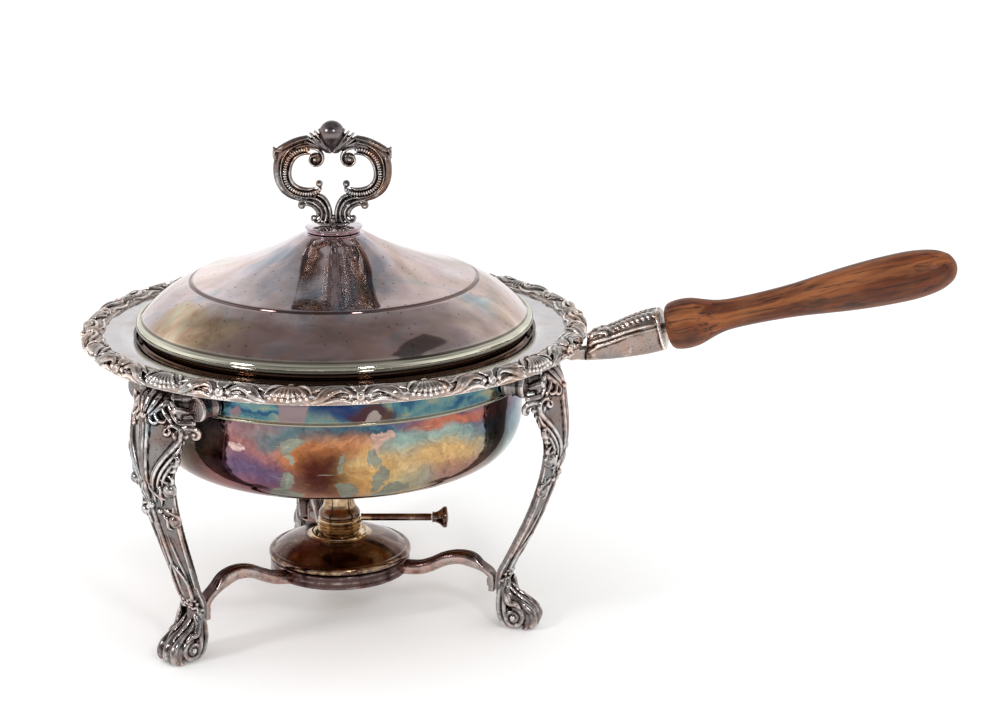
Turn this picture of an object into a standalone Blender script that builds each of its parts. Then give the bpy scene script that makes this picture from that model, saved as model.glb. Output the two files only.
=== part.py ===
"""Round chafing dish on a three-legged stand, with a lift-off domed lid and a spirit burner.

Metres, +Z up. The pan handle points along +X. The origin is under the middle of the whole
object, on the floor, so the axis of the round dish stands at AXIS_X on the X axis.
"""
import math

import bmesh
import bpy
from mathutils import Matrix, Vector

# ---------------------------------------------------------------- driving dimensions
AXIS_X = -0.1065            # where the dish axis stands
GAP = 0.0003                # running gap between pieces that touch
SEGMENTS = 48               # sides of the round dish, the lid and the ring that holds them
SMALL_SEGMENTS = 20         # sides of small turned pieces

# each leg: azimuth, how far its foot stands outside the shared leg shape, lift of its stretcher arm
LEG_PLACES = {
    "leg_left": (-126.0, 0.0070, 0.0040),
    "leg_right": (-6.0, 0.0, 0.0),
    "leg_rear": (114.0, 0.0, 0.0),
}
LID_HANDLE_AZIMUTH = 10.0   # the scroll handle stands in this vertical plane
BURNER_AZIMUTH = 10.0       # the regulator rod points this way

BAND_RADIUS = 0.1178        # stand ring, outside
BAND_INNER = 0.1150
BAND_BOTTOM = 0.1535
BAND_TOP = 0.1712
BEAD_HEIGHT = 0.0005        # bead round the lower edge of the band

BOWL_RADIUS = 0.1125        # outer pan, outside of its wall
BOWL_BOTTOM = 0.1008
BOWL_CORNER_X = 0.0235      # half axes of the turn from wall to bottom
BOWL_CORNER_Z = 0.0285
SHOULDER_Z = BAND_TOP + GAP  # underside of the step that rests on the stand ring
STEP_RADIUS = 0.1198
FLANGE_TOP = 0.1810
FLANGE_RADIUS = 0.1485
PAN_SHEET = 0.0012

BORDER_INNER = 0.1368       # cast border soldered over the edge of the flange
BORDER_OUTER = 0.1512
BORDER_LOBES = 12
LOBE_DEPTH = 0.0008

LINER_RADIUS = 0.1085
LINER_FLOOR = 0.1110
LINER_RIM = 0.1172
LINER_SHEET = 0.0010

LID_SKIRT = 0.1172
LID_LIP = 0.1188
LID_SHEET = 0.0012
LID_TOP = 0.2385
BASE_HEIGHT = 0.0033        # stepped disc under the scroll handle
HANDLE_FOOT = LID_TOP + GAP + BASE_HEIGHT + GAP
STUD_RADIUS = 0.0022

HANDLE_PITCH = 15.0         # the wood handle climbs at this angle
WOOD_START = (0.2003, 0.1889)   # distance from the dish axis, height
WOOD_LENGTH = 0.1701
TANG_RADIUS = 0.0030

STRETCHER_INNER = 0.0400
STRETCHER_OUTER = 0.0430
STRETCHER_BOTTOM = 0.0264
STRETCHER_TOP = 0.0352
SCREW_HEIGHT = 0.0265
SCREW_HOLE = 0.0019
SCREW_HEAD_FACE = 0.0949    # where the screw heads stand, from the dish axis

RESERVOIR_LIP = 0.0438
ROD_HEIGHT = 0.0582
ROD_RADIUS = 0.0024

# ---------------------------------------------------------------- materials
FINISHES = {
    "silver_lid": ((0.56, 0.47, 0.46), 0.22, 1.0),
    "silver_pan": ((0.42, 0.40, 0.38), 0.20, 1.0),
    "silver_rim": ((0.58, 0.55, 0.53), 0.26, 1.0),
    "silver_stand": ((0.34, 0.31, 0.30), 0.30, 1.0),
    "silver_liner": ((0.62, 0.60, 0.57), 0.24, 1.0),
    "burner_bronze": ((0.30, 0.22, 0.17), 0.25, 1.0),
    "fastener_steel": ((0.40, 0.38, 0.36), 0.40, 1.0),
    "wick_cotton": ((0.80, 0.76, 0.66), 0.90, 0.0),
    "handle_wood": ((0.30, 0.12, 0.05), 0.50, 0.0),
}


def finish(name):
    """The named material, made once and shared."""
    material = bpy.data.materials.get(name)
    if material is None:
        color, roughness, metallic = FINISHES[name]
        material = bpy.data.materials.new(name)
        material.use_nodes = True
        shader = material.node_tree.nodes["Principled BSDF"]
        shader.inputs["Base Color"].default_value = (*color, 1.0)
        shader.inputs["Roughness"].default_value = roughness
        shader.inputs["Metallic"].default_value = metallic
    return material


# ---------------------------------------------------------------- outline helpers
def arc(center, radii, start, end, steps):
    """Points on an ellipse arc, angles in degrees, both ends included."""
    points = []
    for i in range(steps + 1):
        angle = math.radians(start + (end - start) * i / steps)
        points.append((center[0] + radii[0] * math.cos(angle), center[1] + radii[1] * math.sin(angle)))
    return points


def offset_line(points, distance):
    """The line moved sideways by distance, to the left of its direction of travel."""
    moved = []
    for i, point in enumerate(points):
        before = Vector(points[max(i - 1, 0)])
        after = Vector(points[min(i + 1, len(points) - 1)])
        here = Vector(point)
        first = (here - before).normalized() if i else (after - here).normalized()
        second = (after - here).normalized() if i < len(points) - 1 else first
        bisector = Vector((-first.y - second.y, first.x + second.x)).normalized()
        stretch = max(0.5, bisector.dot(Vector((-first.y, first.x))))
        moved.append(tuple(here + bisector * distance / stretch))
    return moved


def sheet(points, thickness):
    """Closed outline of a sheet of even thickness whose middle line is points, from the axis out."""
    left = offset_line(points, thickness / 2)
    right = offset_line(points, -thickness / 2)
    if points[0][0] == 0.0:
        left[0] = (0.0, left[0][1])
        right[0] = (0.0, right[0][1])
    return left + right[::-1]


# ---------------------------------------------------------------- solid helpers
def new_object(name, bm, material, parent, smooth_angle=40.0):
    """An object from a bmesh, shaded smooth up to an edge angle, parented to an empty."""
    bmesh.ops.recalc_face_normals(bm, faces=bm.faces)
    mesh = bpy.data.meshes.new(name)
    bm.to_mesh(mesh)
    bm.free()
    mesh.shade_smooth()
    mesh.set_sharp_from_angle(angle=math.radians(smooth_angle))
    mesh.materials.append(finish(material))
    piece = bpy.data.objects.new(name, mesh)
    bpy.context.collection.objects.link(piece)
    piece.parent = parent
    return piece


def turned_bmesh(outline, segments=SEGMENTS):
    """Spin an (r, z) outline about Z. An outline that starts and ends at r = 0 closes on the axis."""
    bm = bmesh.new()
    verts = [bm.verts.new((r, 0.0, z)) for r, z in outline]
    pairs = list(zip(verts, verts[1:]))
    if outline[0][0] > 0.0:
        pairs.append((verts[-1], verts[0]))
    edges = [bm.edges.new(pair) for pair in pairs]
    bmesh.ops.spin(bm, geom=verts + edges, cent=(0, 0, 0), axis=(0, 0, 1),
                   angle=2 * math.pi, steps=segments, use_merge=True, use_duplicate=False)
    bmesh.ops.remove_doubles(bm, verts=bm.verts, dist=1e-7)
    return bm


def turned(name, outline, material, parent, segments=SEGMENTS):
    return new_object(name, turned_bmesh(outline, segments), material, parent)


def lofted_bmesh(rings):
    """Skin a row of closed rings of equal count, with flat ends."""
    bm = bmesh.new()
    rows = [[bm.verts.new(point) for point in ring] for ring in rings]
    count = len(rows[0])
    for low, high in zip(rows, rows[1:]):
        for i in range(count):
            j = (i + 1) % count
            bm.faces.new((low[i], low[j], high[j], high[i]))
    bm.faces.new(rows[0][::-1])
    bm.faces.new(rows[-1])
    return bm


def prism_bmesh(outline, half_width):
    """An (x, z) outline extruded along Y to both sides."""
    rings = [[(x, side, z) for x, z in outline] for side in (-half_width, half_width)]
    return lofted_bmesh(rings)


def cylinder_bmesh(radius, start, end, segments=SMALL_SEGMENTS):
    """A cylinder between two points."""
    start, end = Vector(start), Vector(end)
    bm = bmesh.new()
    turn = (end - start).to_track_quat("Z", "Y").to_matrix().to_4x4()
    place = Matrix.Translation((start + end) / 2) @ turn
    bmesh.ops.create_cone(bm, cap_ends=True, segments=segments, radius1=radius, radius2=radius,
                          depth=(end - start).length, matrix=place)
    return bm


def combine(base, tool, operation):
    """Boolean of two bmeshes, returned as a bmesh."""
    helpers = []
    for bm in (base, tool):
        bmesh.ops.recalc_face_normals(bm, faces=bm.faces)
        mesh = bpy.data.meshes.new("helper")
        bm.to_mesh(mesh)
        bm.free()
        helpers.append(bpy.data.objects.new("helper", mesh))
        bpy.context.collection.objects.link(helpers[-1])
    modifier = helpers[0].modifiers.new("combine", "BOOLEAN")
    modifier.operation = operation
    modifier.solver = "EXACT"
    modifier.object = helpers[1]
    shaped = helpers[0].evaluated_get(bpy.context.evaluated_depsgraph_get())
    result = bmesh.new()
    result.from_mesh(shaped.to_mesh())
    bmesh.ops.remove_doubles(result, verts=result.verts, dist=1e-7)
    for helper in helpers:
        bpy.data.objects.remove(helper, do_unlink=True)
    return result


def empty(name, location, parent=None, azimuth=0.0):
    """A named axis that pieces hang from."""
    axis = bpy.data.objects.new(name, None)
    axis.empty_display_size = 0.02
    axis.location = location
    axis.rotation_euler = (0.0, 0.0, math.radians(azimuth))
    axis.parent = parent
    bpy.context.collection.objects.link(axis)
    return axis


# ---------------------------------------------------------------- stand
def stand_ring(parent):
    """Plain band with a small bead along its lower edge."""
    outline = [
        (BAND_INNER, BAND_BOTTOM), (BAND_RADIUS, BAND_BOTTOM),
        (BAND_RADIUS + BEAD_HEIGHT, BAND_BOTTOM + 0.0008),
        (BAND_RADIUS, BAND_BOTTOM + 0.0018), (BAND_RADIUS, BAND_TOP), (BAND_INNER, BAND_TOP),
    ]
    turned("stand_ring", outline, "silver_stand", parent)


# ridge distance from the dish axis, height, half width, ridge depth, casting thickness
LEG_STATIONS = (
    (0.1290, 0.1690, 0.0150, 0.0050, 0.0080),
    (0.1360, 0.1640, 0.0200, 0.0080, 0.0120),
    (0.1405, 0.1550, 0.0250, 0.0110, 0.0100),
    (0.1425, 0.1450, 0.0250, 0.0105, 0.0055),
    (0.1437, 0.1320, 0.0230, 0.0080, 0.0040),
    (0.1430, 0.1180, 0.0195, 0.0062, 0.0036),
    (0.1390, 0.1010, 0.0172, 0.0050, 0.0032),
    (0.1336, 0.0850, 0.0152, 0.0045, 0.0030),
    (0.1275, 0.0700, 0.0137, 0.0042, 0.0030),
    (0.1203, 0.0550, 0.0122, 0.0040, 0.0032),
    (0.1140, 0.0420, 0.0112, 0.0040, 0.0034),
    (0.1102, 0.0340, 0.0106, 0.0042, 0.0036),
    (0.1100, 0.0260, 0.0104, 0.0044, 0.0042),
    (0.1122, 0.0190, 0.0104, 0.0050, 0.0050),
    (0.1150, 0.0130, 0.0100, 0.0050, 0.0060),
)
FOOT_HALF_WIDTH = 0.0100
SPLAY_START = 0.1050        # below this height a leg may lean out to its own foot
SPLAY_FULL = 0.0400
DRUM_OFFSET = 0.0235        # the two round bosses beside the leg's crest
DRUM_RADIUS = 0.0064
DRUM_BACK = 0.1050
DRUM_FACE = 0.1275
DRUM_HEIGHT = 0.1590


def splay_at(height, splay):
    """How far a leg leans out at a height."""
    share = (SPLAY_START - height) / (SPLAY_START - SPLAY_FULL)
    return splay * min(1.0, max(0.0, share)) ** 2


def leg_section(station, ahead):
    """Ridge in front, hollowed flanks, flat back; square to the leg's run."""
    radius, height, half, depth, thick = station
    run = Vector((ahead[0] - radius, ahead[1] - height)).normalized()
    out = Vector((-run.y, run.x))
    if out.x < 0.0:
        out = -out
    shape = (
        (0.0, 0.0), (-0.62 * depth, 0.52 * half), (-depth, half), (-depth - thick, 0.90 * half),
        (-depth - thick, -0.90 * half), (-depth, -half), (-0.62 * depth, -0.52 * half),
    )
    return [(radius + out.x * n, side, height + out.y * n) for n, side in shape]


def foot_outline(splay):
    """Side view of the scrolled foot, with its flat sole."""
    toe = arc((0.1192, 0.0066), (0.0064, 0.0066), -60, 70, 5)
    top_and_heel = [(0.1140, 0.0170), (0.1085, 0.0215), (0.1012, 0.0225), (0.1003, 0.0160), (0.1030, 0.0075)]
    outline = [(0.1220, 0.0)] + toe[1:] + top_and_heel + [(0.1080, 0.0)]
    return [(radius + splay, height) for radius, height in outline]


def leg_bmesh(splay):
    """One cast leg, pointing along +X, before it is turned to its place."""
    stations = [(s[0] + splay_at(s[1], splay), *s[1:]) for s in LEG_STATIONS]
    rings = []
    for i, station in enumerate(stations):
        before = stations[max(i - 1, 0)]
        after = stations[min(i + 1, len(stations) - 1)]
        ahead = (station[0] + after[0] - before[0], station[1] + after[1] - before[1])
        rings.append(leg_section(station, ahead))
    leg = combine(lofted_bmesh(rings), prism_bmesh(foot_outline(splay), FOOT_HALF_WIDTH), "UNION")
    for side in (-DRUM_OFFSET, DRUM_OFFSET):
        start, end = (DRUM_BACK, side, DRUM_HEIGHT), (DRUM_FACE, side, DRUM_HEIGHT)
        leg = combine(leg, cylinder_bmesh(DRUM_RADIUS, start, end, 16), "UNION")
    clear = BAND_RADIUS + BEAD_HEIGHT + GAP
    seat_low, seat_high = BAND_BOTTOM - 0.0235, BAND_TOP + 0.0088
    seat_tool = turned_bmesh([(0.0, seat_low), (clear, seat_low), (clear, seat_high), (0.0, seat_high)])
    bmesh.ops.rotate(seat_tool, cent=(0, 0, 0), matrix=Matrix.Rotation(math.radians(6.0), 3, "Z"),
                     verts=seat_tool.verts)
    leg = combine(leg, seat_tool, "DIFFERENCE")
    hole = cylinder_bmesh(SCREW_HOLE, (0.0900, 0, SCREW_HEIGHT), (0.1048 + splay, 0, SCREW_HEIGHT), 12)
    return combine(leg, hole, "DIFFERENCE")


def legs(parent):
    for name, (azimuth, splay, _) in LEG_PLACES.items():
        leg = new_object(name, leg_bmesh(splay), "silver_stand", parent)
        leg.rotation_euler = (0.0, 0.0, math.radians(azimuth))


# middle line of one arm: distance from the dish axis, height
ARM_LINE = (
    (0.0414, 0.0294), (0.0520, 0.0302), (0.0600, 0.0330), (0.0690, 0.0376), (0.0780, 0.0396),
    (0.0858, 0.0384), (0.0924, 0.0354), (0.0966, 0.0326), (0.0982, 0.0294), (0.0982, 0.0175),
)
ARM_TAB = 6                 # the strip is thin from this station on
ARM_HALF_WIDTH = 0.0045
ARM_HALF_THICK = 0.0026
TAB_HALF_THICK = 0.0016
ARM_RIB = 0.0026
TAB_RIB = 0.0002


def arm_stations(splay, lift):
    """The arm's line, stretched out to its own leg and bowed up by lift."""
    first, last = ARM_LINE[0][0], ARM_LINE[-1][0]
    line = []
    for i, (radius, height) in enumerate(ARM_LINE):
        share = (radius - first) / (last - first)
        bow = math.sin(math.pi * share) if i < len(ARM_LINE) - 2 else 0.0
        line.append((radius + splay * share, height + lift * bow))
    return line


def arm_bmesh(splay, lift):
    """One arm of the stretcher along +X: a flat strip with a raised rib, ending in a tab."""
    line = arm_stations(splay, lift)
    rings = []
    last = len(line) - 1
    for i, (radius, height) in enumerate(line):
        before, after = Vector(line[max(i - 1, 0)]), Vector(line[min(i + 1, last)])
        run = (after - before).normalized()
        up = Vector((-run.y, run.x))
        half = ARM_HALF_THICK if i < ARM_TAB else TAB_HALF_THICK
        rib = ARM_RIB if i < ARM_TAB else TAB_RIB
        wide = ARM_HALF_WIDTH
        shape = ((-half, -wide), (-half, wide), (half, wide), (half + 0.8 * rib, 0.5 * wide),
                 (half + rib, 0.2 * wide), (half + rib, -0.2 * wide), (half + 0.8 * rib, -0.5 * wide),
                 (half, -wide))
        rings.append([(radius + up.x * n, side, height + up.y * n) for n, side in shape])
    return lofted_bmesh(rings)


def stretcher(parent):
    """Ring that carries the burner, with three arms that screw to the legs."""
    edge = 0.0010
    ring = [
        (STRETCHER_INNER, STRETCHER_BOTTOM), (STRETCHER_OUTER - edge, STRETCHER_BOTTOM),
        (STRETCHER_OUTER, STRETCHER_BOTTOM + edge), (STRETCHER_OUTER, STRETCHER_TOP - edge),
        (STRETCHER_OUTER - edge, STRETCHER_TOP), (STRETCHER_INNER, STRETCHER_TOP),
    ]
    body = turned_bmesh(ring, 36)
    for azimuth, splay, lift in LEG_PLACES.values():
        start = (SCREW_HEAD_FACE - 0.005 + splay, 0, SCREW_HEIGHT)
        end = (SCREW_HEAD_FACE + 0.008 + splay, 0, SCREW_HEIGHT)
        arm = combine(arm_bmesh(splay, lift), cylinder_bmesh(SCREW_HOLE, start, end, 12), "DIFFERENCE")
        turn = Matrix.Rotation(math.radians(azimuth), 3, "Z")
        bmesh.ops.rotate(arm, cent=(0, 0, 0), matrix=turn, verts=arm.verts)
        body = combine(body, arm, "UNION")
    new_object("burner_stretcher", body, "silver_stand", parent)


def stretcher_screws(parent):
    """Round-headed screws through the tabs into the legs."""
    head, shank, head_depth, length = 0.0032, 0.0016, 0.0014, 0.0090
    outline = [(0.0, 0.0)] + arc((0.0, 0.0008), (head, 0.0008), -60, 0, 2) + [
        (head, head_depth), (shank, head_depth), (shank, length), (0.0, length)]
    for name, (azimuth, splay, _) in LEG_PLACES.items():
        screw = turned("stretcher_screw_" + name[4:], outline, "fastener_steel", parent, 12)
        turn = Matrix.Rotation(math.radians(azimuth), 4, "Z")
        reach = Matrix.Translation((SCREW_HEAD_FACE + splay, 0.0, SCREW_HEIGHT))
        screw.matrix_local = turn @ reach @ Matrix.Rotation(math.radians(90), 4, "Y")


# ---------------------------------------------------------------- pan
def outer_pan(parent):
    """Bowl, step that rests on the stand ring, and wide flange, spun from one sheet."""
    half = PAN_SHEET / 2
    wall = BOWL_RADIUS - half
    corner = arc((wall - BOWL_CORNER_X, BOWL_BOTTOM + half + BOWL_CORNER_Z + 0.0012),
                 (BOWL_CORNER_X, BOWL_CORNER_Z), -90, 0, 5)
    step = SHOULDER_Z + half
    flange = FLANGE_TOP - half
    line = [(0.0, BOWL_BOTTOM + half), (0.0450, BOWL_BOTTOM + half + 0.0002)] + corner + [
        (wall + 0.0004, step - 0.0012), (wall + 0.0012, step), (STEP_RADIUS - half - 0.0008, step),
        (STEP_RADIUS - half, step + 0.0008), (STEP_RADIUS - half, flange - 0.0012),
        (STEP_RADIUS - half + 0.0012, flange), (FLANGE_RADIUS, flange)]
    turned("outer_pan", sheet(line, PAN_SHEET), "silver_pan", parent)


def rim_border(parent):
    """Cast border of twelve lobes that laps over the edge of the flange."""
    top = FLANGE_TOP + GAP
    section = [
        (BORDER_INNER, top), (BORDER_INNER + 0.0010, top + 0.0016), (0.1410, top + 0.0042),
        (0.1455, top + 0.0042), (0.1492, top + 0.0016), (BORDER_OUTER, 0.1790),
        (BORDER_OUTER - 0.0003, 0.1752), (0.1500, 0.1745), (0.1490, 0.1752), (0.1490, top),
    ]
    lobe_start = 3
    steps = 2 * BORDER_LOBES * 3
    bm = bmesh.new()
    rows = []
    for i in range(steps):
        angle = 2 * math.pi * i / steps
        swell = LOBE_DEPTH * math.cos(BORDER_LOBES * angle)
        row = []
        for k, (radius, height) in enumerate(section):
            reach = radius + (swell if lobe_start <= k <= 6 else 0.0)
            row.append(bm.verts.new((reach * math.cos(angle), reach * math.sin(angle), height)))
        rows.append(row)
    for i, row in enumerate(rows):
        after = rows[(i + 1) % steps]
        for k in range(len(section)):
            m = (k + 1) % len(section)
            bm.faces.new((row[k], row[m], after[m], after[k]))
    new_object("rim_border", bm, "silver_rim", parent)


# ---------------------------------------------------------------- pan handle
# along the socket: distance from the dish axis, top, bottom, half width
SOCKET_STATIONS = (
    (0.1532, 0.1820, 0.1668, 0.0085), (0.1580, 0.1862, 0.1672, 0.0102), (0.1680, 0.1893, 0.1685, 0.0113),
    (0.1780, 0.1940, 0.1704, 0.0119), (0.1890, 0.1982, 0.1730, 0.0122), (0.1990, 0.2006, 0.1762, 0.0122),
)


def socket_ring(station, lean):
    """Rounded box section; lean tips the section to stand square to the handle."""
    radius, top, bottom, half = station
    middle, rise = (top + bottom) / 2, (top - bottom) / 2
    ring = []
    for i in range(16):
        angle = 2 * math.pi * i / 16
        across = math.copysign(abs(math.cos(angle)) ** 0.7, math.cos(angle)) * half
        up = math.copysign(abs(math.sin(angle)) ** 0.7, math.sin(angle)) * rise
        ring.append((radius - up * lean, across, middle + up))
    return ring


def handle_axis_point(distance):
    """Point on the handle's axis, measured from the start of the wood."""
    pitch = math.radians(HANDLE_PITCH)
    return (WOOD_START[0] + distance * math.cos(pitch), 0.0, WOOD_START[1] + distance * math.sin(pitch))


def handle_socket(parent):
    """Cast socket with a strap that runs in under the flange."""
    last = len(SOCKET_STATIONS) - 1
    lean = math.tan(math.radians(HANDLE_PITCH))
    body = lofted_bmesh([socket_ring(s, lean * i / last) for i, s in enumerate(SOCKET_STATIONS)])
    under = FLANGE_TOP - PAN_SHEET - GAP
    strap = [(0.1275, under), (0.1465, under), (0.1482, 0.1738), (0.1550, 0.1738), (0.1550, 0.1672),
             (0.1440, 0.1664), (0.1340, 0.1700), (0.1275, 0.1760)]
    body = combine(body, prism_bmesh(strap, 0.0048), "UNION")
    bore = cylinder_bmesh(TANG_RADIUS + GAP, handle_axis_point(-0.0300), handle_axis_point(0.0200), 16)
    new_object("handle_socket", combine(body, bore, "DIFFERENCE"), "silver_rim", parent)


WOOD_PROFILE = (
    (0.0004, 0.0110), (0.0020, 0.0131), (0.0060, 0.0144), (0.0110, 0.0147), (0.0170, 0.0140),
    (0.0230, 0.0121), (0.0290, 0.0102), (0.0360, 0.0090), (0.0460, 0.0087), (0.0600, 0.0089),
    (0.0760, 0.0097), (0.0910, 0.0112), (0.1060, 0.0127), (0.1230, 0.0138), (0.1400, 0.0141),
    (0.1510, 0.0133), (0.1600, 0.0113), (0.1665, 0.0078), (0.1695, 0.0036), (WOOD_LENGTH, 0.0),
)
BORE_DEPTH = 0.0700


def wood_handle(parent):
    """Turned grip with a blind bore for the tang."""
    bore = TANG_RADIUS + GAP
    outline = [(0.0, BORE_DEPTH), (bore, BORE_DEPTH), (bore, 0.0004)] + [(r, s) for s, r in WOOD_PROFILE]
    grip = turned("wood_handle", outline, "handle_wood", parent, SMALL_SEGMENTS)
    grip.location = handle_axis_point(0.0)
    grip.rotation_euler = (0.0, math.radians(90.0 - HANDLE_PITCH), 0.0)


def handle_tang(parent):
    """Steel rod that joins the grip to the socket."""
    bm = cylinder_bmesh(TANG_RADIUS, handle_axis_point(-0.0290), handle_axis_point(BORE_DEPTH - 0.001), 16)
    new_object("handle_tang", bm, "fastener_steel", parent)


# ---------------------------------------------------------------- food pan and lid
def food_pan(parent):
    """Inner pan that holds the food over the water, hung by its flat rim."""
    half = LINER_SHEET / 2
    wall = LINER_RADIUS - half
    rim = SHOULDER_Z + PAN_SHEET + GAP + half
    corner = arc((wall - 0.0220, LINER_FLOOR + 0.0220), (0.0220, 0.0220), -90, 0, 4)
    line = [(0.0, LINER_FLOOR)] + corner + [(wall, rim - 0.0008), (wall + 0.0008, rim), (LINER_RIM, rim)]
    turned("food_pan", sheet(line, LINER_SHEET), "silver_liner", parent)


LID_CROWN = (
    (0.0030, 0.2385), (0.0160, 0.2384), (0.0240, 0.2373), (0.0300, 0.2351), (0.0460, 0.2280),
    (0.0620, 0.2216), (0.0750, 0.2168), (0.0835, 0.2126), (0.0862, 0.2104), (0.0876, 0.2104),
    (0.0960, 0.2068), (0.1055, 0.2004), (0.1120, 0.1940), (0.1160, 0.1894),
)


def lid_dome(parent):
    """Stepped dome with a rolled lip and a skirt that drops into the pan."""
    skirt_bottom = SHOULDER_Z + PAN_SHEET + GAP + LINER_SHEET + GAP
    inner = LID_SKIRT - LID_SHEET
    lip = arc((LID_SKIRT - 0.0010, 0.1860), (LID_LIP - LID_SKIRT + 0.0010, 0.0034), 70, -70, 4)
    outside = list(LID_CROWN) + lip + [(LID_SKIRT, 0.1826), (LID_SKIRT, skirt_bottom)]
    under = offset_line(LID_CROWN, -LID_SHEET)
    inside = [(inner, skirt_bottom), (inner, 0.1880)] + under[-2:0:-2] + [(0.0030, under[0][1])]
    turned("lid_dome", outside + inside, "silver_lid", parent)


def lid_handle_base(parent):
    """Stepped round foot under the scroll handle."""
    low = LID_TOP + GAP
    outline = [(0.0026, low), (0.0150, low), (0.0158, low + 0.0008), (0.0152, low + 0.0016),
               (0.0166, low + 0.0020), (0.0172, low + 0.0026), (0.0168, low + BASE_HEIGHT),
               (0.0026, low + BASE_HEIGHT)]
    turned("lid_handle_base", outline, "silver_lid", parent, 24)


# right half of the openwork handle, (x, z) in millimetres above its foot
HANDLE_OUTER_MM = (
    (0.0, 62.9), (4.0, 62.0), (7.0, 59.2), (8.8, 56.5), (11.0, 55.3), (14.0, 54.2), (17.0, 52.6),
    (22.0, 51.6), (27.5, 49.0), (32.0, 47.0), (34.8, 48.4), (35.2, 46.0), (33.2, 43.6), (33.2, 40.5),
    (34.9, 34.5), (34.0, 27.3), (30.5, 21.3), (26.3, 18.0), (22.2, 16.0), (22.8, 13.0), (20.4, 10.0),
    (17.4, 11.8), (14.5, 12.6), (11.6, 11.2), (10.7, 8.2), (12.8, 6.4), (14.4, 4.6), (12.8, 2.4),
    (10.4, 0.0),
)
HANDLE_INNER_MM = (
    (0.0, 11.6), (2.2, 13.6), (5.0, 16.6), (7.3, 18.4), (6.4, 21.4), (6.2, 25.0), (8.5, 27.0),
    (10.8, 26.5), (11.8, 24.4), (14.4, 23.2), (18.0, 22.9), (22.1, 24.4), (25.0, 28.0), (26.2, 32.2),
    (25.6, 36.4), (23.3, 39.4), (19.2, 41.4), (14.5, 41.2), (12.6, 38.8), (10.8, 36.7), (7.4, 36.7),
    (5.0, 38.8), (3.8, 41.2), (2.0, 42.5), (0.0, 42.8),
)
HANDLE_HALF_THICK = 0.0040
HANDLE_BALL_RADIUS = 0.0086
HANDLE_BALL_HEIGHT = 0.0542


def mirrored_loop(half_mm):
    """A closed outline in metres from its right half."""
    right = [(x / 1000, z / 1000) for x, z in half_mm]
    left = [(-x, z) for x, z in right[::-1] if x > 0.0]
    return right + left


def openwork_bmesh(loops, half_thick):
    """A flat plate with openings, standing in the XZ plane."""
    bm = bmesh.new()
    edges = []
    for loop in loops:
        verts = [bm.verts.new((x, -half_thick, z)) for x, z in loop]
        edges += [bm.edges.new((verts[i - 1], verts[i])) for i in range(len(verts))]
    front = bmesh.ops.triangle_fill(bm, use_beauty=True, use_dissolve=False, edges=edges)["geom"]
    faces = [item for item in front if isinstance(item, bmesh.types.BMFace)]
    back = bmesh.ops.extrude_face_region(bm, geom=faces, use_keep_orig=True)["geom"]
    verts = [item for item in back if isinstance(item, bmesh.types.BMVert)]
    bmesh.ops.translate(bm, vec=(0, 2 * half_thick, 0), verts=verts)
    return bm


def lid_handle(parent):
    """Cast openwork scroll handle with a ball on top."""
    loops = [mirrored_loop(HANDLE_OUTER_MM), mirrored_loop(HANDLE_INNER_MM)]
    plate = openwork_bmesh(loops, HANDLE_HALF_THICK)
    ball = bmesh.new()
    bmesh.ops.create_uvsphere(ball, u_segments=16, v_segments=10, radius=HANDLE_BALL_RADIUS,
                              matrix=Matrix.Translation((0.0, 0.0, HANDLE_BALL_HEIGHT)))
    body = combine(plate, ball, "UNION")
    body = combine(body, cylinder_bmesh(STUD_RADIUS + GAP, (0, 0, -0.001), (0, 0, 0.0060), 12), "DIFFERENCE")
    handle = new_object("lid_handle", body, "silver_lid", parent)
    handle.location = (0.0, 0.0, HANDLE_FOOT)


def lid_fixings(parent):
    """Threaded stud from the scroll handle through the dome, and its nut inside."""
    stud = cylinder_bmesh(STUD_RADIUS, (0, 0, 0.2320), (0, 0, HANDLE_FOOT + 0.0055), 12)
    new_object("lid_stud", stud, "fastener_steel", parent)
    nut_top = LID_TOP - LID_SHEET - GAP
    nut_bottom = nut_top - 0.0030
    bore, outside = STUD_RADIUS + 0.0005, 0.0048
    outline = [(bore, nut_bottom), (outside, nut_bottom), (outside, nut_top), (bore, nut_top)]
    turned("lid_nut", outline, "fastener_steel", parent, 6)


# ---------------------------------------------------------------- burner
def burner_reservoir(parent):
    """Low fuel well with a rolled lip that sits on the stretcher ring, open at its neck."""
    seat = STRETCHER_TOP + GAP
    outside = [(0.0, 0.0236), (0.0300, 0.0236), (0.0360, 0.0250), (0.0392, 0.0285), (0.0392, seat)]
    lip = arc((RESERVOIR_LIP - 0.0022, seat + 0.0024), (0.0022, 0.0024), -90, 90, 4)
    dome = [(0.0395, seat + 0.0055), (0.0340, 0.0440), (0.0260, 0.0474), (0.0190, 0.0487), (0.0175, 0.0498),
            (0.0158, 0.0500), (0.0150, 0.0492), (0.0106, 0.0494), (0.0106, 0.0560)]
    inside = [(0.0098, 0.0560), (0.0098, 0.0484), (0.0190, 0.0478), (0.0335, 0.0430),
              (0.0384, 0.0392), (0.0384, 0.0290), (0.0354, 0.0257), (0.0, 0.0244)]
    turned("burner_reservoir", outside + lip + dome + inside, "burner_bronze", parent, 32)


def filler_collar(parent):
    """Ribbed screw collar on the neck; it carries the wick tube."""
    base, ribs = 0.0512, 3
    rib_height = 0.0016
    outline = [(0.0109, base), (0.0124, base)]
    for k in range(ribs):
        low = base + 0.0004 + k * rib_height
        outline += [(0.0130, low + 0.0004), (0.0130, low + 0.0009), (0.0124, low + rib_height)]
    outline += [(0.0124, 0.0571), (0.0077, 0.0571), (0.0077, 0.0564), (0.0109, 0.0564)]
    turned("filler_collar", outline, "burner_bronze", parent, 24)


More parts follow.
